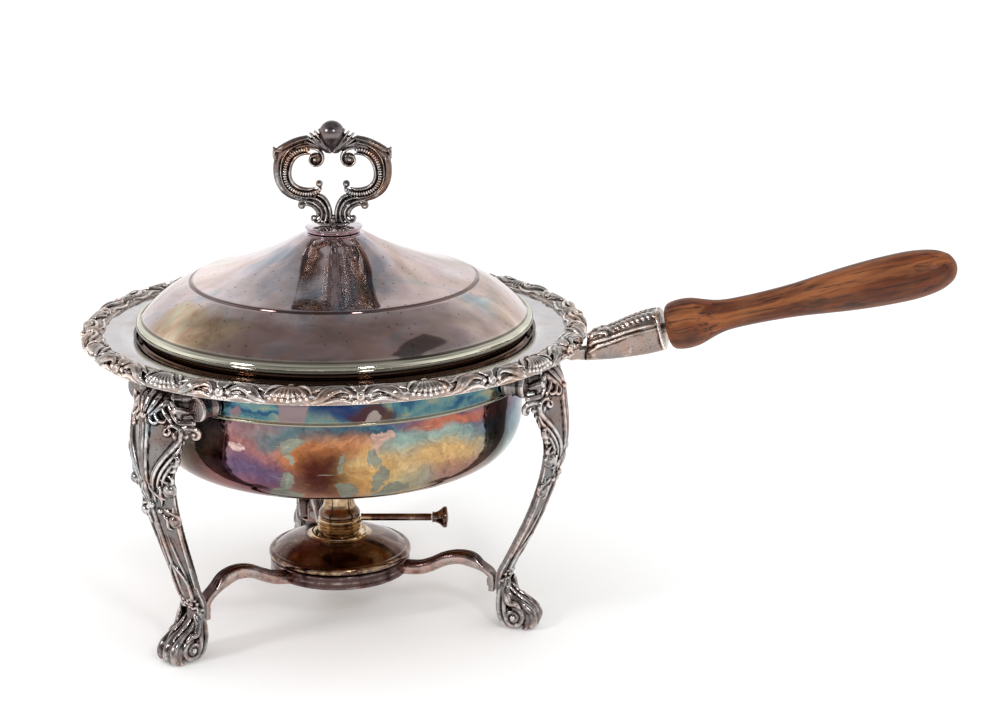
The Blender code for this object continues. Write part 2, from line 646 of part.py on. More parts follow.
def wick_parts(parent):
    """Wick tube held by the collar, and the wick packed in it."""
    tube = [(0.0066, 0.0300), (0.0074, 0.0300), (0.0074, 0.0740), (0.0066, 0.0740)]
    turned("wick_tube", tube, "burner_bronze", parent, SMALL_SEGMENTS)
    wick = [(0.0, 0.0262), (0.0062, 0.0262), (0.0062, 0.0745), (0.0050, 0.0757), (0.0, 0.0760)]
    turned("wick", wick, "wick_cotton", parent, SMALL_SEGMENTS)


SLEEVE_RADIUS = 0.0130
KNOB_START = 0.0571


def regulator(parent):
    """Conical sleeve that turns round the wick tube, with its rod and knob along +X."""
    sleeve = [(0.0110, 0.0574), (0.0123, 0.0574), (SLEEVE_RADIUS, 0.0579), (SLEEVE_RADIUS, 0.0588),
              (0.0123, 0.0594), (0.0127, 0.0602), (0.0127, 0.0625), (0.0100, 0.0662), (0.0093, 0.0700),
              (0.0093, 0.0760), (0.0084, 0.0760), (0.0084, 0.0698), (0.0091, 0.0656), (0.0117, 0.0620),
              (0.0117, 0.0594)]
    turned("regulator_sleeve", sleeve, "burner_bronze", parent, 24)
    rod_end = KNOB_START - GAP
    rod = cylinder_bmesh(ROD_RADIUS, (SLEEVE_RADIUS + GAP, 0, ROD_HEIGHT), (rod_end, 0, ROD_HEIGHT), 12)
    new_object("regulator_rod", rod, "burner_bronze", parent)
    knob = [(0.0, KNOB_START), (0.0034, KNOB_START), (0.0038, 0.0600), (0.0050, 0.0622), (0.0064, 0.0634),
            (0.0066, 0.0640), (0.0066, 0.0660), (0.0056, 0.0668), (0.0, 0.0670)]
    piece = turned("regulator_knob", knob, "burner_bronze", parent, 20)
    piece.location = (0.0, 0.0, ROD_HEIGHT)
    piece.rotation_euler = (0.0, math.radians(90.0), 0.0)


# ---------------------------------------------------------------- assembly
def build():
    for old in list(bpy.data.objects):
        bpy.data.objects.remove(old, do_unlink=True)

    stand = empty("stand_axis", (AXIS_X, 0.0, 0.0))
    stand_ring(stand)
    legs(stand)
    stretcher(stand)
    stretcher_screws(stand)

    pan = empty("pan_lift_axis", (0.0, 0.0, 0.0), stand)
    outer_pan(pan)
    rim_border(pan)
    handle_socket(pan)
    wood_handle(pan)
    handle_tang(pan)

    food_pan(empty("food_pan_lift_axis", (0.0, 0.0, 0.0), pan))

    lid = empty("lid_lift_axis", (0.0, 0.0, 0.0), stand, LID_HANDLE_AZIMUTH)
    lid_dome(empty("lid_dome_axis", (0.0, 0.0, 0.0), stand))
    lid_handle_base(lid)
    lid_handle(lid)
    lid_fixings(lid)

    burner = empty("burner_lift_axis", (0.0, 0.0, 0.0), stand)
    burner_reservoir(burner)
    filler_collar(burner)
    wick_parts(burner)
    regulator(empty("regulator_turn_axis", (0.0, 0.0, 0.0), stand, BURNER_AZIMUTH))


build()
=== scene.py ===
"""Looks of the round chafing dish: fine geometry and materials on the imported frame. +Z is up.

Shapes are drawn in millimetres about the dish axis and placed in metres; materials use places in metres.
"""
import math

import bmesh
import bpy
import numpy as np
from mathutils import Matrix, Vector

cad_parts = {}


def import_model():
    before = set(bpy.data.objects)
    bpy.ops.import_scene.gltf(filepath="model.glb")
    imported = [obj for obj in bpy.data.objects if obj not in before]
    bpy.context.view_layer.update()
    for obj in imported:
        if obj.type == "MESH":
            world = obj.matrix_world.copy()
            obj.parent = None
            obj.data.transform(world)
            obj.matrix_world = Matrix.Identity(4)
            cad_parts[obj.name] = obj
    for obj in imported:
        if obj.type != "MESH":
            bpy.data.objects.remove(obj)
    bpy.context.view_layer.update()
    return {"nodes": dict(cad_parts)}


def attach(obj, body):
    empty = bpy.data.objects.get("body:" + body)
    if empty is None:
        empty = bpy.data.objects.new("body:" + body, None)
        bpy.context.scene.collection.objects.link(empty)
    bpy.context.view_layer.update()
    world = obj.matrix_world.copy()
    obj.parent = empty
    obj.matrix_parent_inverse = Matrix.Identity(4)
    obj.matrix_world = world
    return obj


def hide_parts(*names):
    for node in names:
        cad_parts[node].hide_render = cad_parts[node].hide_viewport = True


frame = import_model()
nodes = frame["nodes"]

AXIS = np.array([-0.1065, 0.0, 0.0])     # the dish axis
# leg name: azimuth in degrees, outward bend of the foot and extra bow of the stretcher arm in millimetres
LEGS = {"leg_left": (-126.0, 7.0, 4.0), "leg_right": (-6.0, 0.0, 0.0), "leg_rear": (114.0, 0.0, 0.0)}
LID_AZIMUTH = 10.0                      # the lid handle faces the photo's camera
BURNER_AZIMUTH = 10.0                   # the regulator points to the right in the photo
FRONT = -80.0                           # azimuth of the side that the photo shows
GRIP_PITCH = 15.0                       # rise of the wood grip, degrees
MM = 1000.0                             # millimetres in a metre; the shapes are drawn in millimetres
CASTING_VOXEL, FINE_VOXEL, SOCKET_VOXEL = 0.00044, 0.0003, 0.0005      # grain of the castings, metres
Z = np.array([0.0, 0.0, 1.0])


# ================================================================ curves and sweeps
def spline(points, count):
    """Smooth curve through points (Catmull-Rom), evenly sampled by length."""
    p = np.array(points, float)
    p = np.vstack([2 * p[0] - p[1], p, 2 * p[-1] - p[-2]])
    out = []
    for i in range(1, len(p) - 2):
        a, b, c, d = p[i - 1:i + 3]
        for t in np.linspace(0, 1, 12, endpoint=False):
            out.append(0.5 * (2 * b + (c - a) * t + (2 * a - 5 * b + 4 * c - d) * t**2 +
                (3 * b - a - 3 * c + d) * t**3))
    out = np.array(out + [p[-2]])
    run = np.concatenate([[0], np.cumsum(np.linalg.norm(np.diff(out, axis=0), axis=1))])
    even = np.linspace(0, run[-1], count)
    return np.stack([np.interp(even, run, out[:, k]) for k in range(out.shape[1])], 1)


def unit(v):
    v = np.asarray(v, float)
    return v / np.maximum(np.linalg.norm(v, axis=-1, keepdims=True), 1e-12)


def full_turn(count):
    """Angles all the way round."""
    return np.linspace(0, 2 * math.pi, count, endpoint=False)


def circle(count):
    return [(math.cos(a), math.sin(a)) for a in full_turn(count)]


def turn_z(points, degrees):
    a = math.radians(degrees)
    m = np.array([[math.cos(a), -math.sin(a), 0], [math.sin(a), math.cos(a), 0], [0, 0, 1]])
    return np.asarray(points) @ m.T


class Mesh:
    """Closed shapes gathered into one mesh."""

    def __init__(self):
        self.verts, self.faces, self.count = [], [], 0

    def add(self, verts, faces):
        verts = np.asarray(verts, float).reshape(-1, 3)
        self.verts.append(verts)
        self.faces += [tuple(i + self.count for i in face) for face in faces]
        self.count += len(verts)

    def rows(self, grid, wrap=True, caps=True, loop=False):
        """Skin rows of points; rows wrap round, and the row list may itself close."""
        rows, n = len(grid), len(grid[0])
        faces = []
        for i in range(rows if loop else rows - 1):
            k = (i + 1) % rows
            for j in range(n if wrap else n - 1):
                m = (j + 1) % n
                faces.append((i * n + j, i * n + m, k * n + m, k * n + j))
        if caps and not loop:
            faces += [tuple(range(n))[::-1], tuple((rows - 1) * n + j for j in range(n))]
        self.add(np.asarray(grid).reshape(-1, 3), faces)

    def sweep(self, path, section, ups, scale=None, loop=False):
        """A closed (side, up) section along a path; ups are the directions of its up axis."""
        path = np.asarray(path, float)
        if loop:
            run = unit(np.roll(path, -1, 0) - np.roll(path, 1, 0))
        else:
            run = unit(np.gradient(path, axis=0))
        ups = np.broadcast_to(np.asarray(ups, float), path.shape)
        side = unit(np.cross(run, ups))
        up = unit(np.cross(side, run))
        scale = np.ones(len(path)) if scale is None else np.asarray(scale)
        section = np.asarray(section, float)
        grid = (path[:, None] + side[:, None] * (section[None, :, 0:1] * scale[:, None, None]) + up[:,
            None] * (section[None, :, 1:2] * scale[:, None, None]))
        self.rows(grid, loop=loop)

    def tube(self, path, radius, ups=(0, 0, 1), flat=1.0, taper=0.3, sides=10, loop=False):
        """A round moulding that thins at its ends."""
        n = len(path)
        radius = np.interp(np.linspace(0, 1, n), np.linspace(0, 1, len(np.atleast_1d(radius))),
            np.atleast_1d(radius))
        if not loop:
            t = np.linspace(0, 1, n)
            radius = radius * np.clip(np.minimum(t, 1 - t) / max(taper * 0.5, 1e-6), 0.25, 1) ** 0.5
        a = full_turn(sides)
        section = np.stack([np.cos(a), flat * np.sin(a)], 1)
        self.sweep(path, section, ups, radius, loop)

    def blob(self, at, radii, out=(0, 0, 1), along=(1, 0, 0), n=12):
        """An ellipsoid: radii along, across and out."""
        out = unit(out)
        along = unit(np.asarray(along, float) - np.dot(along, out) * out)
        across = np.cross(out, along)
        grid = []
        for i in range(n // 2 + 1):
            v = math.pi * (0.04 + 0.92 * i / (n // 2)) - math.pi / 2
            ring = []
            for j in range(n):
                u = 2 * math.pi * j / n
                c = math.cos(v)
                ring.append(np.asarray(at) + along * radii[0] * c * math.cos(u) + across * radii[1] * c *
                    math.sin(u) + out * radii[2] * math.sin(v))
            grid.append(ring)
        self.rows(np.array(grid))

    def turned(self, outline, segments=192):
        """Spin a closed (r, z) outline; points at r = 0 share the axis."""
        outline = np.array(outline, float)
        closed = outline[0, 0] > 1e-9
        inner = outline if closed else outline[1:-1]
        grid = np.stack([np.stack([inner[:, 0] * math.cos(t), inner[:, 0] * math.sin(t), inner[:, 1]],
            1) for t in full_turn(segments)])
        if closed:
            self.rows(grid, loop=True)
            return
        n = len(inner)
        faces = []
        for i in range(segments):
            k = (i + 1) % segments
            faces += [(i * n + j, i * n + j + 1, k * n + j + 1, k * n + j) for j in range(n - 1)]
            faces.append((segments * n, i * n, k * n))
            faces.append((segments * n + 1, k * n + n - 1, i * n + n - 1))
        ends = [[0, 0, outline[0, 1]], [0, 0, outline[-1, 1]]]
        self.add(np.vstack([grid.reshape(-1, 3), ends]), faces)

    def place(self, azimuth=0.0, settle=None):
        """From millimetres about the dish axis to metres in the frame; settle may trim the points first."""
        points = np.vstack(self.verts)
        if settle:
            settle(points)
        self.verts = [turn_z(points, azimuth) / MM + AXIS]

    def object(self, name, voxel=0.0, sharp=35.0):
        """Make the Blender object; a voxel size fuses the shapes as one casting."""
        mesh = bpy.data.meshes.new(name)
        mesh.from_pydata(np.vstack(self.verts).tolist(), [], self.faces)
        bm = bmesh.new()
        bm.from_mesh(mesh)
        bmesh.ops.recalc_face_normals(bm, faces=bm.faces)
        bm.to_mesh(mesh)
        bm.free()
        obj = bpy.data.objects.new(name, mesh)
        bpy.context.scene.collection.objects.link(obj)
        if voxel:
            remesh = obj.modifiers.new("fuse", "REMESH")
            remesh.mode = "VOXEL"
            remesh.voxel_size = voxel
            remesh.adaptivity = 0.0
            soften = obj.modifiers.new("soften", "SMOOTH")
            soften.factor = 0.5
            soften.iterations = 1
            done = bpy.data.meshes.new_from_object(obj.evaluated_get(bpy.context.evaluated_depsgraph_get()))
            obj.modifiers.clear()
            obj.data = done
            relief(done)
            done.shade_smooth()
        else:
            mesh.shade_smooth()
            mesh.set_sharp_from_angle(angle=math.radians(sharp))
        return obj


def relief(mesh, rounds=12):
    """Store how far each point stands out of its surroundings: 0 deep, 0.5 flat, 1 proud; the cast metals
    paint shade in the recesses and highlights on the ridges from it.
    """
    n, m = len(mesh.vertices), len(mesh.edges)
    co, no = np.zeros(n * 3), np.zeros(n * 3)
    mesh.vertices.foreach_get("co", co)
    mesh.vertices.foreach_get("normal", no)
    co, no = co.reshape(-1, 3), no.reshape(-1, 3)
    edge = np.zeros(m * 2, int)
    mesh.edges.foreach_get("vertices", edge)
    a, b = edge.reshape(-1, 2).T
    degree = np.bincount(np.concatenate([a, b]), minlength=n)[:, None].clip(1)
    soft = co.copy()
    for _ in range(rounds):
        total = np.zeros_like(soft)
        for k in range(3):
            total[:, k] = np.bincount(a, soft[b, k], n) + np.bincount(b, soft[a, k], n)
        soft = 0.5 * soft + 0.5 * total / degree
    proud = ((co - soft) * no).sum(1)
    value = 0.5 + proud / 0.001
    attribute = mesh.attributes.new("relief", "FLOAT", "POINT")
    attribute.data.foreach_set("value", np.clip(value, 0, 1).astype(np.float32))


def put(obj, body, material, slot, *replaced):
    """Ride on a body, take a material, and stand for CAD nodes."""
    obj.data.materials.clear()
    obj.data.materials.append(material)
    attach(obj, body)
    if replaced:
        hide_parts(*replaced)
    return obj


# ================================================================ material helpers
def add(tree, kind, inputs=None, **settings):
    made = tree.nodes.new(kind)
    for key, value in settings.items():
        setattr(made, key, value)
    for key, value in (inputs or {}).items():
        if isinstance(value, bpy.types.NodeSocket):
            tree.links.new(value, made.inputs[key])
        else:
            made.inputs[key].default_value = value
    return made


def new_material(name, roughness=0.2, metallic=1.0):
    material = bpy.data.materials.new(name)
    material.use_nodes = True
    tree = material.node_tree
    shader = tree.nodes["Principled BSDF"]
    shader.inputs["Roughness"].default_value = roughness
    shader.inputs["Metallic"].default_value = metallic
    where = add(tree, "ShaderNodeTexCoord").outputs["Object"]
    return material, tree, shader, where


def noise(tree, where, scale, detail=4.0, distortion=0.0, roughness=0.55, stretch=None, shift=(0, 0, 0)):
    placed = add(tree, "ShaderNodeMapping", {"Vector": where, "Scale": stretch or (1, 1, 1),
        "Location": shift})
    made = add(tree, "ShaderNodeTexNoise", {"Vector": placed.outputs[0], "Scale": scale, "Detail": detail,
        "Distortion": distortion, "Roughness": roughness})
    return made.outputs["Fac"]


def ramp(tree, value, stops):
    made = add(tree, "ShaderNodeValToRGB", {"Fac": value})
    band = made.color_ramp
    while len(band.elements) < len(stops):
        band.elements.new(0.5)
    for element, (position, color) in zip(band.elements, stops):
        element.position = position
        color = (color, color, color) if isinstance(color, float) else color
        element.color = (*color, 1.0)
    return made.outputs["Color"]


def mixed(tree, factor, a, b, blend="MIX"):
    made = add(tree, "ShaderNodeMix", data_type="RGBA", blend_type=blend)
    for socket, value in ((made.inputs[0], factor), (made.inputs[6], a), (made.inputs[7], b)):
        if isinstance(value, bpy.types.NodeSocket):
            tree.links.new(value, socket)
        elif isinstance(value, (int, float)):
            socket.default_value = value
        else:
            socket.default_value = (*value, 1.0)
    return made.outputs[2]


def calc(tree, operation, a, b=0.0, c=0.0):
    made = add(tree, "ShaderNodeMath", operation=operation)
    for socket, value in zip(made.inputs, (a, b, c)):
        if isinstance(value, bpy.types.NodeSocket):
            tree.links.new(value, socket)
        else:
            socket.default_value = value
    return made.outputs[0]


def times(tree, a, b):
    return calc(tree, "MULTIPLY", a, b)


def tint(tree, color, mask, strength, other):
    """Lay another colour over a masked place."""
    return mixed(tree, times(tree, mask, strength), color, other)


def fade(tree, value, low, high):
    """0 at low, 1 at high, straight between."""
    return add(tree, "ShaderNodeMapRange", {"Value": value, "From Min": low, "From Max": high}).outputs[0]


def rise(tree, value, low, high):
    """A mask that is black up to low and white from high on."""
    return ramp(tree, value, [(low, 0.0), (high, 1.0)])


def height_of(tree, where):
    return add(tree, "ShaderNodeSeparateXYZ", {0: where}).outputs[2]


def about_axis(tree, where):
    """The place seen from the dish axis without its height, and its distance from the axis."""
    flat = add(tree, "ShaderNodeMapping", {"Vector": where, "Location": tuple(-AXIS),
        "Scale": (1.0, 1.0, 0.0)})
    far = add(tree, "ShaderNodeVectorMath", {0: flat.outputs[0]}, operation="LENGTH")
    return flat.outputs[0], far.outputs["Value"]


def line_at(tree, value, place, soft, hard):
    """A thin line where a value is near a place."""
    return fade(tree, calc(tree, "ABSOLUTE", calc(tree, "SUBTRACT", value, place)), soft, hard)


def on_wall(angle, radius, height):
    """A point at an angle to the right of the front, on a wall round the dish axis; metres."""
    turn = math.radians(FRONT + angle)
    return AXIS[0] + radius * math.cos(turn), radius * math.sin(turn), height


def spot(tree, where, center, radii, edge=0.35):
    """1 inside a soft ellipsoid, 0 outside."""
    placed = add(tree, "ShaderNodeMapping", {"Vector": where, "Scale": tuple(1 / r for r in radii),
        "Location": tuple(-c / r for c, r in zip(center, radii))})
    far = add(tree, "ShaderNodeVectorMath", {0: placed.outputs[0]}, operation="LENGTH").outputs["Value"]
    span = add(tree, "ShaderNodeMapRange", {"Value": far, "From Min": 1.0 + edge, "From Max": 1.0 - edge},
        interpolation_type="SMOOTHSTEP")
    return span.outputs[0]


def warped(tree, where, scale, amount, shift=(0, 0, 0)):
    """The place coordinate pushed about by noise, for ragged edges."""
    placed = add(tree, "ShaderNodeMapping", {"Vector": where, "Location": shift})
    made = add(tree, "ShaderNodeTexNoise", {"Vector": placed.outputs[0], "Scale": scale, "Detail": 5.0,
        "Roughness": 0.6})
    centered = add(tree, "ShaderNodeVectorMath", {0: made.outputs["Color"], 1: (0.5, 0.5, 0.5)},
        operation="SUBTRACT")
    scaled = add(tree, "ShaderNodeVectorMath", {0: centered.outputs[0], "Scale": amount}, operation="SCALE")
    return add(tree, "ShaderNodeVectorMath", {0: where, 1: scaled.outputs[0]}, operation="ADD").outputs[0]


def finish_metal(tree, shader, where, color, rough=(0.1, 0.3), bump=0.15, bump_scale=900.0, scratch=True):
    """Link colour, smudged roughness and a fine scratched bump."""
    tree.links.new(color, shader.inputs["Base Color"])
    smudge = noise(tree, where, 45.0, 6.0, 0.6)
    span = add(tree, "ShaderNodeMapRange", {"Value": smudge, "From Min": 0.3, "From Max": 0.75,
        "To Min": rough[0], "To Max": rough[1]})
    tree.links.new(span.outputs[0], shader.inputs["Roughness"])
    height = noise(tree, where, bump_scale, 3.0)
    if scratch:
        lines = noise(tree, where, 60.0, 3.0, 0.0, 0.6, (1.0, 26.0, 26.0), (0.3, 0.1, 0.7))
        lines = times(tree, calc(tree, "POWER", lines, 6.0), 3.0)
        height = calc(tree, "ADD", height, lines)
    made = add(tree, "ShaderNodeBump", {"Height": height, "Strength": bump, "Distance": 0.0002})
    tree.links.new(made.outputs[0], shader.inputs["Normal"])


def cast_metal(name, light, mid, deep, warm, rough=(0.14, 0.34)):
    """Cast silver plate: grey flats, warm stains, tarnish in the hollows and wear on the ridges, with
    painted shade in the recesses and painted highlights on the ridges.
    """
    material, tree, shader, where = new_material(name)
    level = add(tree, "ShaderNodeAttribute", attribute_name="relief").outputs["Fac"]
    grain = noise(tree, where, 160.0, 5.0, 0.4)
    level = calc(tree, "ADD", level, times(tree, calc(tree, "SUBTRACT", grain, 0.5), 0.35))
    # painted shade and painted highlight: by the stored relief the recesses darken to deep and the ridges
    # brighten to light, over real tarnish and wear
    color = ramp(tree, level, [(0.36, deep), (0.485, mid), (0.56, mid), (0.69, light)])
    stain = rise(tree, noise(tree, where, 38.0, 5.0, 1.2), 0.46, 0.66)
    color = mixed(tree, times(tree, stain, 0.75), color, mixed(tree, 1.0, color, warm, "MULTIPLY"))
    cool = rise(tree, noise(tree, where, 26.0, 4.0, 0.8, 0.5, None, (3.1, 0.4, 1.7)), 0.5, 0.72)
    color = mixed(tree, times(tree, cool, 0.6), color,
        mixed(tree, 1.0, color, (0.62, 0.85, 0.95), "MULTIPLY"))
    pits = ramp(tree, noise(tree, where, 700.0, 2.0), [(0.28, 0.25), (0.4, 1.0)])
    color = mixed(tree, 0.8, color, pits, "MULTIPLY")
    finish_metal(tree, shader, where, color, rough, 0.35, 520.0, False)
    return material


# ================================================================ materials
def lid_material():
    """Clouded silver tarnish with brown and olive fields, and a few dark specks; painted shade lines in the
    crease and at the lip, and a painted highlight on the lip.
    """
    material, tree, shader, where = new_material("tarnished_lid_with_painted_light")
    cloud = noise(tree, where, 13.0, 6.0, 1.4)
    color = ramp(tree, cloud, [(0.3, (0.6, 0.5, 0.43)), (0.42, (0.68, 0.54, 0.51)),
        (0.5, (0.6, 0.46, 0.46)), (0.58, (0.66, 0.56, 0.57)), (0.66, (0.47, 0.45, 0.51)),
        (0.76, (0.38, 0.47, 0.53))])
    teal = rise(tree, noise(tree, where, 14.0, 6.0, 1.6, 0.6, None, (2.0, 5.0, 1.0)), 0.54, 0.66)
    color = tint(tree, color, teal, 0.8, (0.29, 0.4, 0.44))
    brown = rise(tree, noise(tree, where, 11.0, 7.0, 2.0, 0.62, None, (7.0, 2.0, 4.0)), 0.52, 0.66)
    color = tint(tree, color, brown, 0.6, (0.48, 0.34, 0.24))
    ragged = warped(tree, where, 40.0, 0.03)
    front = times(tree, spot(tree, ragged, (-0.09, -0.105, 0.196), (0.075, 0.05, 0.015), 0.5), 0.85)
    color = mixed(tree, front, color, ramp(tree, noise(tree, where, 24.0, 6.0, 1.5, 0.6, None,
        (3.0, 3.0, 1.0)), [(0.32, (0.26, 0.155, 0.125)), (0.5, (0.33, 0.205, 0.185)),
        (0.66, (0.25, 0.215, 0.235))]))
    olive = times(tree, spot(tree, ragged, (-0.169, -0.08, 0.1965), (0.04, 0.03, 0.014), 0.3), 0.85)
    color = mixed(tree, olive, color, ramp(tree, noise(tree, where, 60.0, 6.0, 1.5),
        [(0.34, (0.46, 0.28, 0.16)), (0.52, (0.58, 0.42, 0.26)), (0.7, (0.48, 0.48, 0.34))]))
    # painted shade: a dark line in the crease between crown and shoulder
    radius = about_axis(tree, where)[1]
    color = tint(tree, color, line_at(tree, radius, 0.0856, 0.0016, 0.0007), 0.85, (0.1, 0.055, 0.05))
    specks = add(tree, "ShaderNodeTexVoronoi", {"Vector": where, "Scale": 190.0, "Randomness": 1.0})
    dots = ramp(tree, specks.outputs["Distance"], [(0.1, 1.0), (0.17, 0.0)])
    some = rise(tree, noise(tree, where, 24.0, 3.0, 0.0, 0.5, None, (1.0, 1.0, 9.0)), 0.42, 0.5)
    color = tint(tree, color, times(tree, dots, some), 0.6, (0.12, 0.07, 0.07))
    height = height_of(tree, where)
    # the lip: a worn golden band, with painted shade below it and brightening to a painted white highlight
    # along its top; above it, a dark line of painted shade
    lip = ramp(tree, fade(tree, height, 0.176, 0.196),
        [(0.0, (0.12, 0.06, 0.04)), (0.36, (0.2, 0.12, 0.08)), (0.42, (0.66, 0.64, 0.52)),
        (0.72, (0.7, 0.68, 0.55)), (0.8, (1.0, 1.0, 1.0))])
    mask = fade(tree, height, 0.1912, 0.1894)
    color = mixed(tree, mask, color, lip)
    # painted shade: the dark line above the lip
    color = tint(tree, color, line_at(tree, height, 0.1897, 0.0008, 0.0003), 0.8, (0.1, 0.06, 0.05))
    finish_metal(tree, shader, where, color, (0.025, 0.07), 0.03)
    return material


def bowl_material():
    """Heat tarnish: thin-film colours in drifting bands, with bare and coppery patches, and painted dark
    reflections of the legs.
    """
    material, tree, shader, where = new_material("heat_tarnish_with_painted_reflections")
    ragged = warped(tree, where, 26.0, 0.03)
    split = add(tree, "ShaderNodeSeparateXYZ", {0: ragged}).outputs
    film = calc(tree, "MULTIPLY_ADD", split[2], 9.0, -0.95)
    film = calc(tree, "ADD", film, times(tree, noise(tree, where, 13.0, 5.0, 1.4), 0.75))
    film = calc(tree, "ADD", film, times(tree, split[0], 1.3))
    heat = spot(tree, ragged, (-0.11, -0.1, 0.128), (0.06, 0.06, 0.024), 0.6)
    film = calc(tree, "SUBTRACT", film, times(tree, heat, 0.28))
    film = calc(tree, "PINGPONG", film, 1.0)
    color = ramp(tree, film, [(0.00, (0.1, 0.012, 0.02)), (0.09, (0.26, 0.035, 0.02)),
        (0.17, (0.48, 0.16, 0.025)), (0.26, (0.6, 0.36, 0.09)), (0.36, (0.42, 0.4, 0.22)),
        (0.46, (0.26, 0.4, 0.36)), (0.56, (0.11, 0.24, 0.28)), (0.66, (0.035, 0.1, 0.2)),
        (0.74, (0.09, 0.05, 0.13)), (0.82, (0.3, 0.1, 0.13)), (0.9, (0.42, 0.25, 0.2)),
        (1.00, (0.24, 0.34, 0.36))])
    streak = noise(tree, ragged, 16.0, 8.0, 2.5, 0.7, (1.0, 1.0, 3.0))
    color = tint(tree, color, rise(tree, streak, 0.45, 0.75), 0.5, (0.34, 0.42, 0.42))
    fine = warped(tree, ragged, 110.0, 0.012)

    def patch(under, angle, height, wide, tall, over, strength=1.0, edge=0.6, shape=ragged):
        """Lay a colour on the wall, at an angle from the front."""
        radius = np.interp(height, [0.104, 0.11, 0.118, 0.13, 0.14], [0.088, 0.099, 0.107, 0.1115, 0.1122])
        mask = spot(tree, shape, on_wall(angle, radius, height), (wide, wide * 1.3, tall), edge)
        return tint(tree, under, mask, strength, over)

    pink, violet, teal, gold = (0.34, 0.115, 0.125), (0.115, 0.09, 0.21), (0.075, 0.18, 0.2), (0.68, 0.4,
        0.13)
    orange, maroon, dark, pale = (0.52, 0.15, 0.035), (0.06, 0.01, 0.01), (0.035, 0.011, 0.009), (0.32,
        0.43, 0.37)
    # tarnish patches on the wall, except the two near-black tall streaks in dark at -46 and 62 degrees,
    # which are painted dark reflections of the left and right legs
    for angle, height, wide, tall, over, strength in ((-22, 0.14, 0.03, 0.016, pink, 0.9),
            (-22, 0.124, 0.03, 0.012, violet, 0.85), (-30, 0.112, 0.03, 0.01, pink, 0.7),
            (-46, 0.136, 0.016, 0.04, dark, 0.9), (-64, 0.125, 0.016, 0.03, (0.45, 0.3, 0.31), 0.8),
            (-8, 0.147, 0.026, 0.0045, teal, 0.8), (8, 0.148, 0.03, 0.004, (0.03, 0.08, 0.13), 0.8),
            (-3, 0.136, 0.016, 0.01, (0.5, 0.16, 0.04), 0.9), (10, 0.14, 0.018, 0.006, orange, 0.8),
            (1, 0.125, 0.017, 0.013, maroon, 0.95), (16, 0.122, 0.018, 0.014, gold, 0.7),
            (33, 0.14, 0.028, 0.008, pale, 0.9), (37, 0.127, 0.026, 0.01, gold, 0.9),
            (40, 0.149, 0.022, 0.0028, (0.5, 0.13, 0.06), 0.9),
            (46, 0.114, 0.024, 0.01, (0.42, 0.17, 0.12), 0.85), (62, 0.13, 0.01, 0.034, dark, 0.9)):
        color = patch(color, angle, height, wide, tall, over, strength)
    # bare sage-grey patches with sharp edges
    for angle, height, wide, tall in ((-8, 0.1435, 0.0055, 0.0038), (-7, 0.1385, 0.002, 0.005),
            (-10, 0.1215, 0.006, 0.0075), (-12, 0.111, 0.012, 0.0065), (6, 0.13, 0.0018, 0.006),
            (7, 0.115, 0.006, 0.007), (15, 0.132, 0.0032, 0.0045), (16, 0.122, 0.0052, 0.0075),
            (21, 0.111, 0.01, 0.005)):
        color = patch(color, angle, height, wide, tall, (0.25, 0.275, 0.215), 0.92, 0.08, fine)
    color = patch(color, 18, 0.1445, 0.0085, 0.0042, (0.6, 0.38, 0.3), 0.9, 0.1, fine)
    color = patch(color, 16.5, 0.1405, 0.0032, 0.006, (0.56, 0.34, 0.27), 0.85, 0.12, fine)
    color = patch(color, -26.5, 0.1385, 0.005, 0.003, (0.66, 0.47, 0.43), 0.95, 0.08)
    lines = noise(tree, where, 40.0, 2.0, 0.3, 0.5, (1.0, 1.0, 40.0), (0.9, 0.0, 0.0))
    color = tint(tree, color, rise(tree, lines, 0.7, 0.72), 0.5, (0.66, 0.6, 0.52))
    mottle = noise(tree, fine, 70.0, 8.0, 1.5, 0.7, (1.0, 1.0, 1.6))
    color = mixed(tree, 0.8, color, ramp(tree, mottle,
        [(0.34, (0.52, 0.45, 0.46)), (0.5, (0.92, 0.9, 0.89)), (0.66, (1.36, 1.38, 1.3))]), "MULTIPLY")
    color = add(tree, "ShaderNodeHueSaturation", {"Color": color, "Saturation": 0.94,
        "Value": 0.82}).outputs[0]
    # the flange on top is a pale lavender grey
    upward = height_of(tree, where)
    flange = fade(tree, upward, 0.1785, 0.18)
    pale = ramp(tree, noise(tree, where, 20.0, 6.0, 1.5),
        [(0.32, (0.36, 0.34, 0.34)), (0.52, (0.46, 0.44, 0.45)), (0.72, (0.38, 0.3, 0.27))])
    color = mixed(tree, flange, color, pale)
    finish_metal(tree, shader, where, color, (0.03, 0.09), 0.04)
    return material


def band_material():
    """Blue-green tarnish with pale bare places, on the plain band of the stand."""
    material, tree, shader, where = new_material("tarnished_band")
    ragged = warped(tree, where, 40.0, 0.02)
    film = noise(tree, ragged, 24.0, 6.0, 1.5, 0.6, (1.0, 1.0, 2.2))
    color = ramp(tree, film, [(0.3, (0.015, 0.03, 0.1)), (0.42, (0.03, 0.085, 0.14)),
        (0.5, (0.075, 0.17, 0.19)), (0.58, (0.15, 0.22, 0.19)), (0.66, (0.27, 0.24, 0.14)),
        (0.76, (0.17, 0.09, 0.085))])
    for angle, height, size, edge, over in ((4, 0.164, (0.02, 0.02, 0.006), 0.5, (0.014, 0.026, 0.095)),
            (14, 0.1605, (0.014, 0.018, 0.004), 0.4, (0.06, 0.022, 0.02)),
            (-9, 0.163, (0.0085, 0.012, 0.02), 0.1, (0.23, 0.16, 0.165)),
            (13, 0.158, (0.0045, 0.007, 0.0018), 0.15, (0.3, 0.25, 0.22)),
            (-24, 0.159, (0.005, 0.008, 0.0022), 0.2, (0.2, 0.13, 0.14))):
        mask = spot(tree, ragged, on_wall(angle, 0.1178, height), size, edge)
        color = tint(tree, color, mask, 0.9, over)
    color = tint(tree, color, fade(tree, height_of(tree, where), 0.1566, 0.1552), 0.7, (0.42, 0.36, 0.26))
    finish_metal(tree, shader, where, color, (0.07, 0.2), 0.08)
    return material


